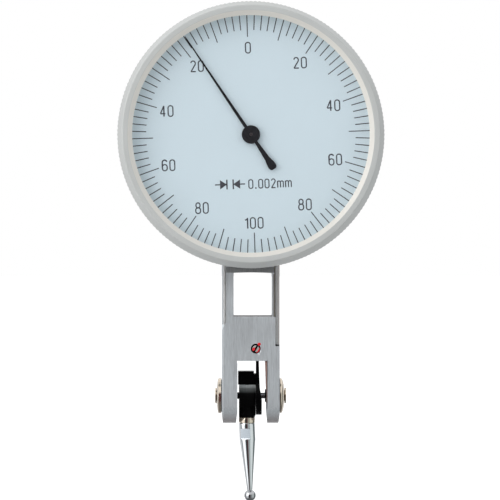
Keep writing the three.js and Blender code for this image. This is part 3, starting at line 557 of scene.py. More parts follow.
@shader_group("Worked surface", {
    "Colour": GREY, "Grain": 0.5, "Blotches": 0.5, "Grain shade": 0.2, "Blotch shade": 0.1,
    "Roughness": 0.4, "Roughness spread": 0.1, "Wear": 0, "Worn colour": GREY,
}, {"Colour": COLOUR, "Roughness": VALUE, "Height": VALUE})
def worked_surface(tree, tint, grain, patches, grain_shade, patch_shade, roughness, spread,
                   wear, worn):
    """Turns a grain and blotches into a colour, a roughness and a height."""

    def shade(value, amount):
        """1 where value is a half, up and down by amount to either side."""
        return maths(tree, "MULTIPLY_ADD", maths(tree, "SUBTRACT", value, 0.5), amount, 1)

    both = maths(tree, "MULTIPLY", shade(grain, grain_shade), shade(patches, patch_shade))
    tinted = vectors(tree, "SCALE", tint, both)
    uneven = maths(tree, "SUBTRACT", mixed(tree, 0.5, grain, patches), 0.5)
    rough = maths(tree, "MULTIPLY_ADD", uneven, spread, roughness, use_clamp=True)
    return [blended(tree, wear, tinted, worn), rough, grain]


# Finishes

STEEL_STRETCH = (5200, 5200, 260)
# Painted shadow for the gap between each pivot cap and its ear
CAP_GAP_SHADOW = srgb(60, 66, 70)

# Each finish's difference from a plain one. A strip is a box between two corners with
# its tint there, and the softness of its edges where it isn't a sharp one. Every strip
# is painted light or shade.
FINISHES = {
    "bar_steel": dict(
        roughness=0.42, metallic=0.5, grain="streaks", stretch=STEEL_STRETCH, grain_shade=1.05,
        bump=0.3, spread=0.25, wear=0.5, worn=srgb(214, 214, 212), wear_radius=0.08,
        painted_strips=[
            # Left edge: painted shade beside the dovetail, and a painted highlight down the ear's
            # outer edge
            ((-4.5, -9, -28.6), (-4.13, 1, 20), srgb(182, 186, 189)),
            ((-4.5, -9, -50), (-4.1, 1, -28.6), srgb(220, 225, 229)),
            # Painted shade on the web beside the window, and a painted warm reflection on the right
            # ear's inner edge
            ((3.34, -8.1, -27.4), (3.62, -7, -20.9), srgb(150, 150, 150)),
            ((2.15, -8.1, -40.5), (2.5, -7.5, -34.1), srgb(196, 170, 162)),
            # Painted light on the dovetail's flank, which lies in shade
            ((-4.13, -7.9, -29.6), (-3.7, -0.1, 20), (1, 1, 1)),
            # Painted shade on the ends of the ears, where they curve away from the light
            ((-9, -12, -48), (9, 4, -41.9), srgb(168, 165, 166), 1.5),
            # Painted shadow under the bezel, and painted shade on the window's lower wall
            ((-3.75, -8.1, -20.7), (3.62, -7.9, -19.8), srgb(136, 138, 139)),
            ((-2.7, -7.95, -27.5), (3.4, -0.1, -27.3), srgb(120, 118, 118)),
        ]),
    "rail_steel": dict(
        metallic=0.1, grain="streaks", stretch=STEEL_STRETCH, grain_shade=0.4, blotch_shade=0.1,
        bump=0.2, spread=0.25,
        # Painted light on the rail's recessed flank, which lies in shade, and a painted shadow
        # across the rail's lower end
        painted_strips=[((3.7, -7.9, -50), (4.13, -0.1, 20), srgb(255, 251, 248)),
                ((3.7, -9, -32), (4.5, 1, -31.65), srgb(70, 70, 72))]),
    "satin_chrome": dict(
        metallic=0.2, grain="turned", density=9000, grain_shade=0.1, blotch_shade=0.03, bump=0.1,
        spread=0.12, lip=dict(radius=18.31, front=-13.7, tint=srgb(211, 208, 202),
                              roughness=0.35, metallic=0.05)),
    "screw_steel": dict(roughness=0.3, metallic=1, density=3000, bump=0.1, wear=0.5,
                        worn=srgb(190, 190, 190), wear_radius=0.05),
    "spring_steel": dict(roughness=0.3, metallic=1, density=2500),
    "spacer_cream": dict(density=2500, grain_shade=0.04, blotch_shade=0.03, spread=0.1),
    "dial_white": dict(roughness=0.55, density=6000, grain_shade=0.03, blotch_shade=0.015,
                       blotch_density=60, spread=0.08, bump=0.03),
    "dial_ink": dict(roughness=0.6, blotch_shade=0.1, spread=0.1),
    "brass": dict(roughness=0.3, metallic=1, grain="streaks", stretch=(3000, 300, 3000),
                  grain_shade=0.25, bump=0.1),
    "ruby": dict(roughness=0.08, density=1500, coat=1.0),
    "pointer_black": dict(specular=0.25, density=6000, bump=0.05),
    "black_oxide": dict(roughness=0.3, density=7000, grain_shade=0.35, blotch_shade=0.3,
                        spread=0.2, bump=0.12, wear=0.2, worn=srgb(90, 92, 94),
                        wear_radius=0.05, specular=0.05),
    # Blackened steel, with a painted highlight fading down from under the clutch block
    "hub_black": dict(
        base="black_oxide", grain="streaks", stretch=(7000, 300, 300), grain_shade=1.2,
        bump=0.05, spread=0.1, specular=0.06,
        painted_strips=[((-4, -9, -39.2), (3, -3, -30), srgb(140, 144, 144), 1.4),
                ((-4, -9, -38.5), (3, -3, -30), srgb(250, 255, 255), 0.9)]),
    "nickel": dict(
        roughness=0.1, metallic=1, grain="turned", centre=PIVOT, plane=(0, 1, 1), density=6000,
        grain_shade=0.12, bump=0.06, spread=0.08,
        # Painted shadow in the gap between each cap and its ear
        painted_strips=[((-4.54, -8, -44), (-4.38, 0, -35), CAP_GAP_SHADOW),
                ((4.38, -8, -44), (4.54, 0, -35), CAP_GAP_SHADOW)]),
    "collar_nickel": dict(base="nickel", roughness=0.1, metallic=1, grain="turned", centre=PIVOT,
                          plane=(1, 1, 0), density=6000, grain_shade=0.1, bump=0.05, spread=0.1),
    "polished_chrome": dict(roughness=0.07, metallic=1, grain="turned", centre=LEAN_POINT,
                            plane=(1, 1, 0), grain_shade=0.05, blotch_shade=0.02, spread=0.05),
    "carbide": dict(roughness=0.07, metallic=1, density=4000, grain_shade=0.06,
                    blotch_shade=0.03, spread=0.05),
    "red_lacquer": dict(roughness=0.3, density=4000, grain_shade=0.4, bump=0.3, coat=0.4),
}


def finish(name, base=None, roughness=0.5, metallic=0, grain="blotches", stretch=None,
           density=5000, centre=ORIGIN, plane=(1, 0, 1), grain_shade=0.2, blotch_shade=0.08,
           blotch_density=180, spread=0.15, bump=0, wear=0, worn=None, wear_radius=0.1, coat=0,
           specular=0.5, painted_strips=(), lip=None):
    """A procedural material of one base colour with grain, blotches and worn edges, and strips of
    painted light and shade.
    """
    tree, shader = plain_material(name)
    where = node(tree, "ShaderNodeTexCoord").outputs["Object"]
    if grain == "streaks":
        lines = placed(tree, streaks, {"Vector": where, "Stretch": stretch})
    elif grain == "turned":
        lines = placed(tree, turning_marks, {"Vector": where, "Centre": metres(centre),
                                             "Plane": plane, "Density": density})
    else:
        lines = placed(tree, blotches, {"Vector": where, "Density": density})
    patches = placed(tree, blotches, {"Vector": where, "Density": blotch_density})
    tint = (*getattr(bpy.context.scene.indicator_colours, base or name), 1)
    # Strips of painted light and shade, laid over the base colour
    for low, high, painted_tint, *soft in painted_strips:
        mask = placed(tree, strip, {"Vector": where, "Low": metres(low), "High": metres(high),
                                    "Softness": (soft[0] if soft else STRIP_SOFTNESS) * MM})
        tint = blended(tree, mask[0], tint, (*painted_tint, 1))
    values = {"Colour": tint, "Grain": lines[0], "Blotches": patches[0],
              "Grain shade": grain_shade, "Blotch shade": blotch_shade,
              "Roughness": roughness, "Roughness spread": spread}
    if wear:
        edges = placed(tree, edge_wear,
                       {"Vector": where, "Radius": wear_radius * MM, "Amount": wear})
        values.update({"Wear": edges[0], "Worn colour": (*worn, 1)})
    surface = placed(tree, worked_surface, values)
    looks = {"Base Color": surface["Colour"], "Roughness": surface["Roughness"],
             "Metallic": metallic, "Coat Weight": coat, "Specular IOR Level": specular}
    if lip:
        mask = placed(tree, lip_mask, {"Vector": where, "Radius": lip["radius"] * MM,
                                       "Front": lip["front"] * MM})
        looks.update({
            "Base Color": blended(tree, mask[0], surface["Colour"], (*lip["tint"], 1)),
            "Roughness": mixed(tree, mask[0], surface["Roughness"], lip["roughness"]),
            "Metallic": mixed(tree, mask[0], metallic, lip["metallic"]),
        })
    if bump:
        looks["Normal"] = node(tree, "ShaderNodeBump", {
            "Strength": bump, "Distance": BUMP_DISTANCE, "Height": surface["Height"]}).outputs[0]
    wire(tree, shader, looks)


def crystal_clear():
    """Flat mineral glass: clear face on, and a mirror at a glancing angle."""
    tree, shader = plain_material("crystal_clear")
    where = node(tree, "ShaderNodeTexCoord").outputs["Object"]
    smears = placed(tree, blotches, {"Vector": where, "Density": 90})[0]
    mirror = node(tree, "ShaderNodeFresnel", {"IOR": 1.45}).outputs[0]
    inside = node(tree, "ShaderNodeNewGeometry").outputs["Backfacing"]
    wire(tree, shader, {
        "Base Color": (0.97, 0.99, 1, 1),
        "Metallic": 1,
        "Roughness": node(tree, "ShaderNodeMapRange", {0: smears, 3: 0.02, 4: 0.06}).outputs[0],
        "Alpha": maths(tree, "MULTIPLY", mirror, maths(tree, "SUBTRACT", 1, inside)),
    })


def material(name):
    """A finish's material, made the first time that it is asked for."""
    if name not in bpy.data.materials:
        if name == "crystal_clear":
            crystal_clear()
        else:
            finish(name, **FINISHES[name])
    return bpy.data.materials[name]


# Lettering


def arc(middle, height, wide, tall, start, end, steps=9):
    """Points along a part of an ellipse, from one angle to another."""
    turns = [(start + (end - start) * i / steps) * DEGREE for i in range(steps + 1)]
    return [(middle + wide * math.cos(t), height + tall * math.sin(t)) for t in turns]


def oval(middle, low, high, wide, tall):
    """A closed loop with straight sides and round ends."""
    return (True, arc(middle, high - tall, wide, tall, 0, 180)
            + arc(middle, low + tall, wide, tall, 180, 360))


# Each letter's width and its strokes (closed or open), where 1 is a numeral's height
LETTER_GAP = 0.27
GLYPHS = {
    "0": (0.45, [oval(0.225, 0, 1, 0.225, 0.2)]),
    "1": (0.24, [(False, [(0, 0.8), (0.13, 0.83), (0.2, 0.9), (0.24, 0.99)]),
                 (False, [(0.24, 1), (0.24, 0)])]),
    "2": (0.45, [(False, arc(0.225, 0.77, 0.215, 0.23, 170, -35) + [(0.01, 0)]),
                 (False, [(0, 0), (0.46, 0)])]),
    "4": (0.46, [(False, [(0.33, 0), (0.33, 1)]), (False, [(0.33, 1), (0, 0.27)]),
                 (False, [(0, 0.27), (0.46, 0.27)])]),
    "6": (0.45, [oval(0.225, 0, 0.58, 0.225, 0.21),
                 (False, [(0, 0.3)] + arc(0.225, 0.77, 0.225, 0.23, 180, 20))]),
    "8": (0.45, [oval(0.225, 0.54, 1, 0.19, 0.19), oval(0.225, 0, 0.54, 0.225, 0.21)]),
    ".": (0.14, [(False, [(0, 0), (0.14, 0)]), (False, [(0, 0.06), (0.14, 0.06)])]),
    "m": (0.64, [(False, [(0, 0), (0, 0.76)]),
                 (False, arc(0.16, 0.57, 0.16, 0.17, 180, 0) + [(0.32, 0)]),
                 (False, arc(0.48, 0.57, 0.16, 0.17, 180, 0) + [(0.64, 0)])]),
}


# Operators


class INDICATOR_OT_stage(bpy.types.Operator):
    """Makes the floor, the lamps, the world and the camera"""

    bl_idname = "indicator.stage"
    bl_label = "Stage"

    floor_radius = 400
    floor_rim = 100
    floor_spread = 6
    paper_grey = 0.8
    paper_glow = 0.5
    light = (0.97, 0.99, 1, 1)
    light_level = 0.88
    # What gloss sees: the brightest level, the colours overhead and underfoot with the
    # heights between which each takes over, and the colours round the studio, by degrees
    # from the camera (left is negative)
    brightest = 1.4
    overhead, overhead_heights = (0.82, 0.82, 0.82, 1), (0.25, 0.5)
    underfoot, underfoot_heights = (0.16, 0.16, 0.16, 1), (-0.4, -0.85)
    round_bands = (
        (-180, (0.8, 0.8, 0.81)), (-108, (0.76, 0.76, 0.77)), (-102, (0.32, 0.34, 0.34)),
        (-83, (0.36, 0.38, 0.38)), (-77, (1.4, 1.4, 1.4)), (-36, (1.4, 1.38, 1.4)),
        (-33.5, (0.86, 0.93, 1.0)), (-31, (0.1, 0.13, 0.12)), (-6, (0.05, 0.035, 0.035)),
        (8, (0.16, 0.07, 0.08)), (13, (0.4, 0.45, 0.44)), (38, (0.46, 0.5, 0.49)),
        (44, (0.85, 0.9, 0.88)), (92, (0.8, 0.84, 0.83)), (97, (0.1, 0.13, 0.12)),
        (127, (0.16, 0.18, 0.18)), (138, (0.8, 0.8, 0.8)), (180, (0.8, 0.8, 0.81)),
    )
    # Name, place, size, power and tint
    lamp_rows = (
        ("key", (-460, -340, 200), 620, 2.0, (1.0, 0.985, 0.965)),
        ("top", (0, 60, 480), 300, 0.05, (1.0, 1.0, 1.0)),
    )
    lamp_aim = (0, -8, -14)
    camera_distance = 275
    camera_azimuth = -0.3
    camera_target = (-0.14, DIAL_FACE, -17.25)
    view_half_width = 37.4

    def execute(self, context):
        self.floor()
        self.world(context)
        self.lamps()
        self.camera(context)
        context.scene.view_settings.view_transform = "Standard"
        return {"FINISHED"}

    def floor(self):
        """A wide pale floor. Gloss looks through it, to the world's own floor."""
        deselect()
        bpy.ops.mesh.primitive_circle_add(vertices=96, radius=self.floor_radius * MM,
                                          fill_type="NGON", location=(0, 0, FLOOR_Z * MM))
        floor = settle(named("stage_floor"))
        with editing(floor):
            bpy.ops.mesh.inset(thickness=self.floor_rim * MM)
            bpy.ops.mesh.select_all(action="SELECT")
            bpy.ops.transform.resize(value=(self.floor_spread, self.floor_spread, 1))
        tree, shader = plain_material("stage_paper")
        seen = light_path(tree, "Camera", "Transmission")
        wire(tree, shader, {
            "Base Color": (*[self.paper_grey] * 3, 1), "Roughness": 0.9,
            "Specular IOR Level": 0, "Emission Color": (1, 1, 1, 1),
            "Emission Strength": maths(tree, "MULTIPLY", seen, self.paper_glow),
        })
        clear = node(tree, "ShaderNodeBsdfTransparent").outputs[0]
        wire(tree, tree.nodes["Material Output"], {"Surface": shader_choice(
            tree, light_path(tree, "Glossy"), shader.outputs[0], clear)})
        floor.data.materials.append(bpy.data.materials["stage_paper"])

    def world(self, context):
        """Soft even light; seen directly it is white, and gloss sees a studio in it."""
        world = context.scene.world = bpy.data.worlds.new("studio")
        world.use_nodes = True
        tree = world.node_tree
        tree.nodes.clear()
        x, y, z = parted(tree, node(tree, "ShaderNodeTexCoord").outputs["Generated"])
        around = maths(tree, "ARCTAN2", x, maths(tree, "MULTIPLY", y, -1))
        above = between(tree, z, *self.overhead_heights)
        below = between(tree, z, *self.underfoot_heights)
        studio = blended(tree, above, self.bands(tree, around), self.overhead)
        studio = blended(tree, below, studio, self.underfoot)
        light, gloss, white = (
            node(tree, "ShaderNodeBackground", {"Color": tint, "Strength": level}).outputs[0]
            for tint, level in ((self.light, self.light_level), (studio, self.brightest),
                                ((1, 1, 1, 1), 1))
        )
        lit = shader_choice(tree, light_path(tree, "Glossy"), light, gloss)
        seen = light_path(tree, "Camera", "Transmission")
        node(tree, "ShaderNodeOutputWorld", {"Surface": shader_choice(tree, seen, lit, white)})

    def bands(self, tree, around):
        """The colour that gloss sees in a direction, as a share of the brightest."""
        share = between(tree, around, -math.pi, math.pi)
        ramp = node(tree, "ShaderNodeValToRGB", {0: share})
        elements = ramp.color_ramp.elements
        while len(elements) < len(self.round_bands):
            elements.new(0.5)
        for element, (at, tint) in zip(elements, self.round_bands):
            element.position = (at / 180 + 1) / 2
            element.color = [level / self.brightest for level in tint] + [1]
        return ramp.outputs[0]

    def lamps(self):
        """A large key lamp above on the left, and a weak one overhead."""
        for name, spot, size, power, tint in self.lamp_rows:
            deselect()
            bpy.ops.object.light_add(type="AREA", location=metres(spot))
            lamp = bpy.context.active_object
            lamp.name = "lamp_" + name
            lamp.data.size = size * MM
            lamp.data.energy = power
            lamp.data.color = tint
            aim = metres(self.lamp_aim) - lamp.location
            lamp.rotation_euler = aim.to_track_quat("-Z", "Y").to_euler()

    def camera(self, context):
        """Almost square on, aimed below the dial."""
        azimuth = self.camera_azimuth * DEGREE
        away = Vector((math.sin(azimuth), -math.cos(azimuth), 0))
        data = bpy.data.cameras.new("camera")
        data.sensor_width = 36
        data.lens = data.sensor_width / 2 * self.camera_distance / self.view_half_width
        data.clip_start, data.clip_end = 0.01, 20
        camera = bpy.data.objects.new("camera", data)
        context.scene.collection.objects.link(camera)
        camera.location = metres(self.camera_target) + away * self.camera_distance * MM
        camera.rotation_euler = (-away).to_track_quat("-Z", "Y").to_euler()
        context.scene.camera = camera


class INDICATOR_OT_bezel(bpy.types.Operator):
    """Turns the bezel, with its dished front and the cone of its lip, and knurls its band"""

    bl_idname = "indicator.bezel"
    bl_label = "Bezel"

    def execute(self, context):
        sides = 2 * sizes().knurl_teeth
        bezel = turned("bezel", "Y", [
            (18.48, BEZEL_REAR), (19.78, BEZEL_REAR), (19.92, -9.46), (BEZEL_RADIUS, -9.62),
            (BEZEL_RADIUS, -9.8), (BEZEL_RADIUS, -12.3), (BEZEL_RADIUS, -12.6), (19.17, -15.05),
            (19.13, -15.13), (19.06, -15.175), (18.98, -15.18), (18.34, -15.16),
            (18.27, -15.11), (17.72, -14.43), (17.65, -14.38), (17.65, CRYSTAL_FRONT),
            (18.48, CRYSTAL_FRONT), (18.48, -10.65), (18.74, -10.65), (18.74, -10.15),
            (18.48, -10.15)], sides, hollow=True)
        front, rear = (spot * MM for spot in KNURLED)
        groove = 1 - sizes().knurl_depth / (BEZEL_RADIUS * MM)
        for vertex in bezel.data.vertices:
            x, y, z = vertex.co
            on_band = front < y < rear and math.hypot(x, z) > (BEZEL_RADIUS - 0.1) * MM
            column = round(math.atan2(z, x) / FULL_TURN * sides)
            if on_band and column % 2:
                vertex.co = (x * groove, y, z * groove)
        fitted(smoothed(bezel), "bezel", "satin_chrome", "bezel_ring")
        return {"FINISHED"}


class INDICATOR_OT_crystal(bpy.types.Operator):
    """Makes the flat crystal and the pale ring that holds it off the dial"""

    bl_idname = "indicator.crystal"
    bl_label = "Crystal"

    def execute(self, context):
        crystal = turned("crystal_glass", "Y", [
            (18.33, CRYSTAL_FRONT), (18.43, CRYSTAL_FRONT + 0.1), (18.43, CRYSTAL_REAR - 0.1),
            (18.33, CRYSTAL_REAR)], ROUND_SIDES)
        fitted(smoothed(crystal), "bezel", "crystal_clear", "crystal")
        ring = turned("spacer_ring", "Y", [
            (18.43, CRYSTAL_REAR), (18.43, DIAL_FACE), (17.97, DIAL_FACE), (17.93, -12.56),
            (17.93, -13.59), (17.97, CRYSTAL_REAR)], ROUND_SIDES, hollow=True)
        fitted(smoothed(ring), "bezel", "spacer_cream", "dial_spacer")
        return {"FINISHED"}


class INDICATOR_OT_dial(bpy.types.Operator):
    """Makes the dial plate with its printing: lines, numerals and the value of a line"""

    bl_idname = "indicator.dial"
    bl_label = "Dial"

    ink_height = 0.012
    ink_front = DIAL_FACE - ink_height
    ink_rear = DIAL_FACE + ink_height / 2
    numeral_stroke = 0.21
    numerals = ((0, 0), (36, 20), (72, 40), (108, 60), (144, 80), (180, 100),
                (-36, 20), (-72, 40), (-108, 60), (-144, 80))

    def execute(self, context):
        disc = turned("dial_face", "Y", [
            (0.8, DIAL_FACE), (18.37, DIAL_FACE), (18.43, DIAL_FACE + 0.06),
            (18.43, DIAL_FACE + 0.4), (0.8, DIAL_FACE + 0.4)], ROUND_SIDES, hollow=True)
        fitted(smoothed(disc), "bezel", "dial_white", "dial_plate")
        for printing in (self.lines(), self.printed_numerals(), self.line_value()):
            place(printing, turn=-sizes().dial_turn, about="Y")
            fitted(printing, "bezel", "dial_white", finish="dial_ink")
        return {"FINISHED"}

    def bar(self, name, left, right, low, high):
        """A printed block, upright on the dial."""
        return box(name, (left, self.ink_front, low), (right, self.ink_rear, high))

    def lines(self):
        """Four short lines and a long one, spun round the dial twenty times."""
        width, outer, short, long = in_mm("tick_width", "tick_outer", "short_tick", "long_tick")
        ticks = []
        for index in range(5):
            line = self.bar(f"line_{index}", -width / 2, width / 2,
                            short if index else long, outer)
            ticks.append(place(line, turn=index * FULL_TURN / 100, about="Y"))
        lines = joined("dial_lines", *ticks)
        with editing(lines):
            bpy.ops.mesh.spin(steps=20, dupli=True, angle=FULL_TURN, center=ORIGIN,
                              axis=(0, 1, 0))
        return clean(lines)

    def lettering(self, words, height, stroke, x, z):
        """Words drawn as flat strokes, centred on a point of the dial, and made a mesh."""
        deselect()
        bpy.ops.object.add(type="CURVE")
        piece = named("lettering")
        curve = piece.data
        curve.dimensions = "3D"
        curve.bevel_depth = stroke / 2 * MM
        curve.bevel_resolution = 1
        curve.use_fill_caps = True
        tall = (height - stroke) * MM
        start = (LETTER_GAP - sum(GLYPHS[letter][0] + LETTER_GAP for letter in words)) / 2
        for letter in words:
            width, strokes = GLYPHS[letter]
            for closed, points in strokes:
                spline = curve.splines.new("POLY")
                spline.points.add(len(points) - 1)
                spline.use_cyclic_u = closed
                for point, (u, v) in zip(spline.points, points):
                    point.co = ((start + u) * tall, 0, (v - 0.5) * tall, 1)
            start += width + LETTER_GAP
        piece.scale = (1, 1.5 * self.ink_height / stroke, 1)
        piece.location = metres((x, DIAL_FACE - self.ink_height / 4, z))
        choose(piece)
        bpy.ops.object.convert(target="MESH")
        return settle(bpy.context.active_object)

    def printed_numerals(self):
        radius, height = in_mm("numeral_radius", "numeral_height")
        made = []
        for degrees, value in self.numerals:
            turn = degrees * DEGREE
            made.append(self.lettering(str(value), height, self.numeral_stroke,
                                       radius * math.sin(turn), radius * math.cos(turn) - 0.1))
        return joined("dial_numerals", *made)

    def line_value(self):
        """What one line stands for, after two arrows that point at each other."""
        middle, level, gap = -3.38, -7.33, 0.94
        head_length, head_half, shaft_length, shaft_half = 1.03, 0.69, 0.75, 0.085
        stop_half_width, stop_half_height = 0.1, 0.73
        parts = [self.lettering("0.002mm", 1.5, 0.19, 2.6, level - 0.05)]
        for side in (-1, 1):
            tip = middle + side * gap / 2
            base = tip + side * head_length
            head = [(tip, level), (base, level - head_half), (base, level + head_half)]
            left, right = sorted((base, base + side * shaft_length))
            parts.append(self.bar("shaft", left, right, level - shaft_half, level + shaft_half))
            parts.append(plate("head", head, "Y", self.ink_front, self.ink_rear))
            parts.append(self.bar("stop", tip - stop_half_width, tip + stop_half_width,
                                  level - stop_half_height, level + stop_half_height))
        return joined("dial_line_value", *parts)


class INDICATOR_OT_pointer(bpy.types.Operator):
    """Makes the pointer: a tapered hand with a paddle tail, and its hub"""

    bl_idname = "indicator.pointer"
    bl_label = "Pointer"

    def execute(self, context):
        tip, tail = in_mm("pointer_length", "pointer_tail")
        side = [(0.05, tip), (0.08, tip - 0.6), (0.265, 0), (0.24, -1.3), (0.4, 1.9 - tail),
                (0.62, 0.75 - tail), (0.64, 0.5 - tail), (0.56, 0.2 - tail), (0.35, -tail)]
        outline = side + [(-x, z) for x, z in reversed(side)]
        hand = plate("hand", outline, "Y", -13.12, -13.0)
        hub = turned("hub", "Y", [(0.26, -13.24), (1.29, -13.26), (1.35, -13.21), (1.37, -13.14),
                                  (1.37, -12.9), (0.26, -12.9)], 64, hollow=True)
        pointer = joined("pointer", bevelled(hand, 0.02, 1), hub)
        place(pointer, turn=-sizes().pointer_angle, about="Y")
        fitted(smoothed(pointer), "pointer", "pointer_black", "pointer_hand")
        return {"FINISHED"}


class INDICATOR_OT_case(bpy.types.Operator):
    """Turns the round case behind the bezel, and drills it for its four screws"""

    bl_idname = "indicator.case"
    bl_label = "Case"

    def execute(self, context):
        case = turned("case_cup", "Y", [
            (0.9, BAR_FRONT), (17.82, BAR_FRONT), (18.08, -8.06), (18.3, -8.24), (18.4, -8.52),
            (18.4, -10.1), (18.19, -10.1), (18.19, -10.7), (18.4, -10.7), (18.4, -11.54),
            (18.34, -11.6), (17.56, -11.6), (17.5, -11.54), (17.5, -8.8), (0.9, -8.8)],
            ROUND_SIDES, hollow=True)
        drills = [turned("drill", "Y", [(0.79, -9.2), (0.79, -8.45), (0.44, -8.45), (0.44, -7.5)],
                         24, centre=(x, 0, z)) for x in (-2.6, 2.6) for z in (-9, 9)]
        fitted(smoothed(cut(case, *drills)), "case", "satin_chrome", "case_body")
        return {"FINISHED"}


class INDICATOR_OT_bar(bpy.types.Operator):
    """Dresses the bar, its right-hand rail and its back cover with broken edges"""

    bl_idname = "indicator.bar"
    bl_label = "Bar"

    # The window's edge, the thin wall that leans on the right ear and that ear's inner edge
    opening = [(-2.63, -27.39), (3.3, -27.39), (3.3, -21.0), (3.22, -20.82), (3.1, -20.76),
               (1.8, -20.69), (0.4, -20.66), (-1.0, -20.67), (-2.5, -20.72), (-2.63, -20.82)]
    wedge = [(2.2, -34.2), (2.45, -34.2), (2.45, -38.5), (2.36, -38.5)]
    inner_edge = [(2.4, -8.2), (2.6, -8.2), (2.6, -8.02), (2.42, -7.65), (2.4, -7.65)]
    # Each ear's edges with the way inward, and how its end tapers
    ear_edges = ((-4.4, 1), (-2.1, -1), (2.4, 1), (4.4, -1))
    taper_top, taper_bottom, taper_width = -42.3, -44, 0.16

    def execute(self, context):
        width, = in_mm("edge_bevel")
        bar = from_node("frame", "bar")
        cut(bar, plate("opening", self.opening, "Y", -9, 1),
            box("fork_top", (-2.1, -9, -34.9), (2.4, 1, -34.12)))
        self.move_screw_hole(bar)
        combine(bar, plate("wedge", self.wedge, "Y", -7.6, -0.3))
        cut(bar, plate("chamfer", self.inner_edge, "Z", -42.5, -34.07))
        for edge, inward in self.ear_edges:
            taper = [(edge, self.taper_top), (edge + self.taper_width * inward, self.taper_bottom),
                     (edge - inward, self.taper_bottom), (edge - inward, self.taper_top)]
            cut(bar, plate("taper", taper, "Y", -9, 1))
        fitted(smoothed(bevelled(bar, width)), "case", "bar_steel", "frame")
        for node_name, name, slot_name in (("side_cover", "rail", "rail_steel"),
                                           ("back_cover", "back_plate", "bar_steel")):
            piece = bevelled(from_node(node_name, name), width * 0.6)
            fitted(smoothed(piece), "case", slot_name, node_name)
        return {"FINISHED"}

    @staticmethod
    def move_screw_hole(bar):
        """Fills the solid's hole for the adjusting screw, and bores one at its head."""
        x, y, z = ADJUSTER
        combine(bar, turned("plug", "Y", [(1.15, y), (1.15, y + 0.5)], 64,
                            centre=(x + 0.06, 0, z - 0.4)))
        cut(bar, turned("bore", "Y", [(0.76, y - 1), (0.76, y + 0.5)], 48, centre=(x, 0, z)))


class INDICATOR_OT_screws(bpy.types.Operator):
    """Makes one slotted screw and copies it to its places, and the adjusting screw"""

    bl_idname = "indicator.screws"
    bl_label = "Screws"

    back_places = ((-2.55, -5.55), (-2.55, 5.55), (2.55, -5.55), (2.55, 5.55))
    side_places = ((4.4, -4, 7), (4.4, -4, 13))
    back_slot_step = 35
    lean = -62.7

    def execute(self, context):
        # The first screw is at the origin, its head faces -Y and its slot runs along X
        master = turned("screw_master", "Y", [
            (0.4, 1.95), (0.4, 0.35), (0.75, 0.35), (0.75, 0.06), (0.69, 0)], 40)
        bevelled(cut(master, box("slot", (-1, -0.2, -0.1), (1, 0.15, 0.1))), 0.025)
        for index, (x, z) in enumerate(self.back_places):
            screw = copied(master, f"back_screw_{index + 1}")
            place(screw, turn=index * self.back_slot_step * DEGREE, about="Y")
            place(screw, turn=math.pi, move=(x, 0, z))
            fitted(smoothed(screw), "case", "screw_steel", f"back_cover_screw_{index + 1}")
        for index, spot in enumerate(self.side_places):
            screw = place(copied(master, f"rail_screw_{index + 1}"), turn=math.pi / 2, move=spot)
            fitted(smoothed(screw), "case", "screw_steel", f"side_cover_screw_{index + 1}")
        bpy.data.objects.remove(master)
        self.adjuster()
        self.lacquer()
        return {"FINISHED"}

    def adjuster(self):
        """The black screw in the bar's front, with its bright face."""
        x, y, z = ADJUSTER
        screw = turned("adjusting_screw_head", "Y", [
            (0.7, y + 0.48), (0.74, y + 0.46), (0.74, y + 0.04), (0.7, y)], 48, centre=(x, 0, z))
        face = turned("adjusting_screw_face", "Y", [(0.5, y + 0.02), (0.5, y - 0.015),
                                                    (0.47, y - 0.03)], 48, centre=(x, 0, z))
        for piece in (screw, face):
            slot = box("slot", (-1, -0.2, -0.15), (1, 0.16, 0.15))
            place(slot, turn=self.lean * DEGREE, about="Y", move=ADJUSTER)
            bevelled(cut(piece, slot), 0.015)
        fitted(smoothed(screw), "case", "black_oxide", "adjusting_screw")
        fitted(smoothed(face), "case", "screw_steel", finish="rail_steel")

    def lacquer(self):
        """Dabs of red lacquer: a dot on the bar, a dab and a crescent on the screw."""
        x, y, z = ADJUSTER
        turns = [i * FULL_TURN / 20 for i in range(20)]
        dot = [(0.52 + 0.25 * math.cos(a) * (1 + 0.08 * math.sin(2 * a)),
                0.68 + 0.24 * math.sin(a) * (1 + 0.06 * math.cos(3 * a))) for a in turns]
        dab = [(-0.31 + 0.2 * math.cos(a) + 0.06 * math.sin(a),
                -0.06 + 0.3 * math.sin(a) * (1 + 0.1 * math.cos(2 * a))) for a in turns]
        # The crescent's outer edge is round, and its inner one dips from each horn
        steps = [(i / 14, (20 - 105 * i / 14) * DEGREE) for i in range(15)]
        rims = [(0.64, a) for _, a in steps]
        rims += [(0.62 - 0.2 * math.sin(share * math.pi), a) for share, a in steps[-2:0:-1]]
        crescent = [(radius * math.cos(a), radius * math.sin(a)) for radius, a in rims]
        dabs = []
        for outline, height in ((dot, 0.05), (dab, 0.075), (crescent, 0.06)):
            shape = [(x + u, z + v) for u, v in outline]
            dabs.append(bevelled(plate("dab", shape, "Y", y - height, y + 0.03), 0.03, 3))
        fitted(smoothed(joined("red_lacquer_dabs", *dabs)), "case", None, finish="red_lacquer")


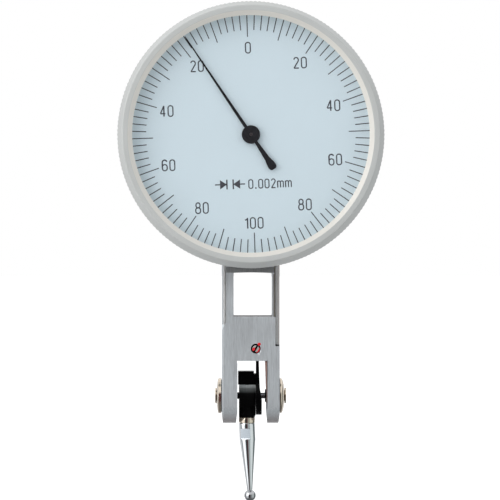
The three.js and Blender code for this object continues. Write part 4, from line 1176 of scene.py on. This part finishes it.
class INDICATOR_OT_pivot(bpy.types.Operator):
    """Turns the domed caps, their slotted end screws and the bearing in the right ear"""

    bl_idname = "indicator.pivot"
    bl_label = "Pivot caps"

    cap_radius = 2.72
    slot_turn = 25
    # Each cap's side, where its rim ends and how high its dome rises
    caps = (("left", -1, 4.92, 0.33), ("right", 1, 4.65, 0.6))

    def execute(self, context):
        for name, side, rim, height in self.caps:
            dome = [self.cap_radius - 1.88 * (i / 10) ** 1.7 for i in range(11)]
            dome = [(r, rim + height * math.sqrt(1 - (r / self.cap_radius) ** 2)) for r in dome]
            profile = [(0.84, 3.8), (1.47, 3.8), (1.47, 4.4), (2.5, 4.4), (2.5, 4.5),
                       (2.66, 4.51), (2.71, 4.54)] + dome
            cap = turned(f"cap_{name}", "X", [(r, side * p) for r, p in profile], 72,
                         centre=PIVOT, hollow=True)
            fitted(smoothed(cap), "case", "nickel", f"pivot_cap_{name}")
            profile = [(0.8, 3.65), (0.8, 5.25), (1.17, 5.25), (1.22, 5.29), (1.22, 5.4),
                       (1.17, 5.45), (1.05, 5.47)]
            screw = turned(f"cap_screw_{name}", "X", [(r, side * p) for r, p in profile], 56,
                           centre=PIVOT)
            slot = box("slot", (5.3, -0.15, -2), (5.8, 0.15, 2))
            place(slot, turn=self.slot_turn * DEGREE, about="X", move=PIVOT)
            if side < 0:
                place(slot, turn=math.pi, centre=PIVOT)
            bevelled(cut(screw, slot), 0.02)
            fitted(smoothed(screw), "case", "nickel", f"end_screw_{name}")
        flange = turned("bearing_flange", "X", [
            (0.49, 2.2), (0.94, 2.2), (1, 2.26), (1, 2.4), (1.47, 2.4), (1.47, 3.6), (0.49, 3.6)],
            56, centre=PIVOT, hollow=True)
        fitted(smoothed(flange), "case", "black_oxide", "bearing_right")
        return {"FINISHED"}


class INDICATOR_OT_lever(bpy.types.Operator):
    """Makes the axle, the lever arm, the clutch block and the collar"""

    bl_idname = "indicator.lever"
    bl_label = "Lever"

    def execute(self, context):
        axle = turned("axle", "X", [(0.41, -3.6), (0.45, -3.56), (0.45, 3.56), (0.41, 3.6)], 48,
                      centre=PIVOT)
        fitted(smoothed(axle), "lever", "screw_steel", "lever_axle")
        arm = cut(from_node("lever_arm", "arm"), box("end", (0, -8, -43.5), (2.5, 0, -42.57)))
        fitted(smoothed(bevelled(arm, 0.04)), "lever", "black_oxide", "lever_arm")
        block = cut(from_node("clutch_block", "block"),
                    box("notch", (0.52, -9, -36.3), (0.8, 1, -35)))
        fitted(smoothed(bevelled(block, 0.08)), "lever", "black_oxide", "clutch_block")
        collar = turned("collar_ring", "X", [
            (0.48, -2.0), (0.52, -2.0), (0.54, -1.98), (0.54, -1.85), (0.52, -1.83), (0.48, -1.83)],
            40, centre=PIVOT, hollow=True)
        fitted(smoothed(collar), "lever", "black_oxide", "clutch_collar")
        return {"FINISHED"}


class INDICATOR_OT_hub(bpy.types.Operator):
    """Makes the round swivel hub with its boss"""

    bl_idname = "indicator.hub"
    bl_label = "Swivel hub"

    def execute(self, context):
        y = PIVOT[1]
        disc = turned("swivel", "X", [
            (1.94, -1.8), (2, -1.74), (2, 0.6), (1.94, 0.66), (1.94, 0.77)], 96, centre=PIVOT)
        boss = turned("boss", "Z", [(1.24, 0), (1.24, -3.26), (1.2, -3.3)], 72, centre=HUB_CENTRE)
        combine(disc, boss)
        combine(disc, box("shoulder", (0, y - 0.9, -42.7), (0.77, y + 0.9, -40.6)))
        bore = turned("bore", "X", [(0.49, -3), (0.49, 3)], 48, centre=PIVOT)
        socket = turned("socket", "Z", [(0.67, -4), (0.67, -2.22)], 40, centre=HUB_CENTRE)
        cut(disc, bore, socket)
        fitted(smoothed(bevelled(disc, 0.03)), "stylus", "black_oxide", "swivel_hub",
               finish="hub_black")
        return {"FINISHED"}


class INDICATOR_OT_stylus(bpy.types.Operator):
    """Makes the collar, the stylus with its wrench flats and the contact ball"""

    bl_idname = "indicator.stylus"
    bl_label = "Stylus"

    flats_turn = -16.6
    ball_radius = 0.9
    ball_centre = -15.4
    ball_steps = 28
    stem_end = 0.42

    def execute(self, context):
        collar = turned("stylus_ferrule", "Z", [
            (0.67, -3.3), (1.14, -3.3), (1.22, -3.35), (1.24, -3.44), (1.24, -4.08), (1.22, -4.13),
            (1.18, -4.16), (0.67, -4.16)], 72, centre=HUB_CENTRE, hollow=True)
        fitted(smoothed(collar), "stylus", "nickel", "stylus_collar", finish="collar_nickel")
        stem = turned("stylus_stem", "Z", [
            (0.55, -2.34), (0.55, -4.13), (1.12, -4.13), (1.12, -4.21), (1.21, -4.22),
            (1.24, -4.26), (1.24, -6.75), (1.18, -7.25), (0.62, -12.5),
            (self.stem_end, -14.54)], 80, centre=HUB_CENTRE)
        for turn in (self.flats_turn - 180, self.flats_turn):
            flat = bevelled(box("flat", (-3, 0.97, -6.64), (3, 3, -4.98)), 0.1, 3)
            cut(stem, place(flat, turn=turn * DEGREE, move=HUB_CENTRE))
        self.lean(stem)
        fitted(smoothed(bevelled(stem, 0.03)), "stylus", "polished_chrome", "stylus")
        ball = self.lean(self.ball())
        fitted(smoothed(ball, weighted=False), "stylus", "carbide", "contact_ball")
        return {"FINISHED"}

    @staticmethod
    def lean(piece):
        return place(piece, turn=-sizes().stylus_lean, about="Y", centre=LEAN_POINT)

    def ball(self):
        """A ball that starts where the stem ends in it, and closes in a pole."""
        top = math.pi / 2 - math.asin(self.stem_end / self.ball_radius)
        angles = [top + (-math.pi / 2 - top) * i / self.ball_steps for i in range(self.ball_steps)]
        profile = [(self.ball_radius * math.cos(a), self.ball_radius * math.sin(a)
                    + self.ball_centre) for a in angles]
        pole = (0, self.ball_centre - self.ball_radius)
        return turned("ball", "Z", profile + [pole], 64, centre=HUB_CENTRE)


class INDICATOR_OT_carried(bpy.types.Operator):
    """Gives every CAD node that stays in view, or inside, its own finish"""

    bl_idname = "indicator.carried"
    bl_label = "Carried-over parts"

    def execute(self, context):
        for old in list(bpy.data.materials):
            bpy.data.materials.remove(old)
        for row in frame["record"]["subparts"]:
            part = frame["nodes"][row["node"]]
            part.data.materials.clear()
            part.data.materials.append(material(row["material_slot"]))
        return {"FINISHED"}


OPERATORS = (
    INDICATOR_OT_carried, INDICATOR_OT_bezel, INDICATOR_OT_crystal, INDICATOR_OT_dial,
    INDICATOR_OT_pointer, INDICATOR_OT_case, INDICATOR_OT_bar, INDICATOR_OT_screws,
    INDICATOR_OT_pivot, INDICATOR_OT_lever, INDICATOR_OT_hub, INDICATOR_OT_stylus,
    INDICATOR_OT_stage,
)


class INDICATOR_PT_panel(bpy.types.Panel):
    """Lists the indicator's pieces and settings"""

    bl_idname = "INDICATOR_PT_panel"
    bl_label = "Dial Test Indicator"
    bl_space_type = "VIEW_3D"
    bl_region_type = "UI"
    bl_category = "Indicator"

    def draw(self, context):
        for settings in (context.scene.indicator_sizes, context.scene.indicator_colours):
            column = self.layout.column()
            for key in settings.__annotations__:
                column.prop(settings, key)
        for operator in OPERATORS:
            self.layout.operator(operator.bl_idname)


CLASSES = (IndicatorSizes, IndicatorColours, *OPERATORS, INDICATOR_PT_panel)


def register():
    for each in CLASSES:
        bpy.utils.register_class(each)
    bpy.types.Scene.indicator_sizes = bpy.props.PointerProperty(type=IndicatorSizes)
    bpy.types.Scene.indicator_colours = bpy.props.PointerProperty(type=IndicatorColours)


def unregister():
    del bpy.types.Scene.indicator_colours
    del bpy.types.Scene.indicator_sizes
    for each in reversed(CLASSES):
        bpy.utils.unregister_class(each)


def main():
    register()
    for operator in OPERATORS:
        family, name = operator.bl_idname.split(".")
        getattr(getattr(bpy.ops, family), name)()
    deselect()


if __name__ == "__main__":
    main()
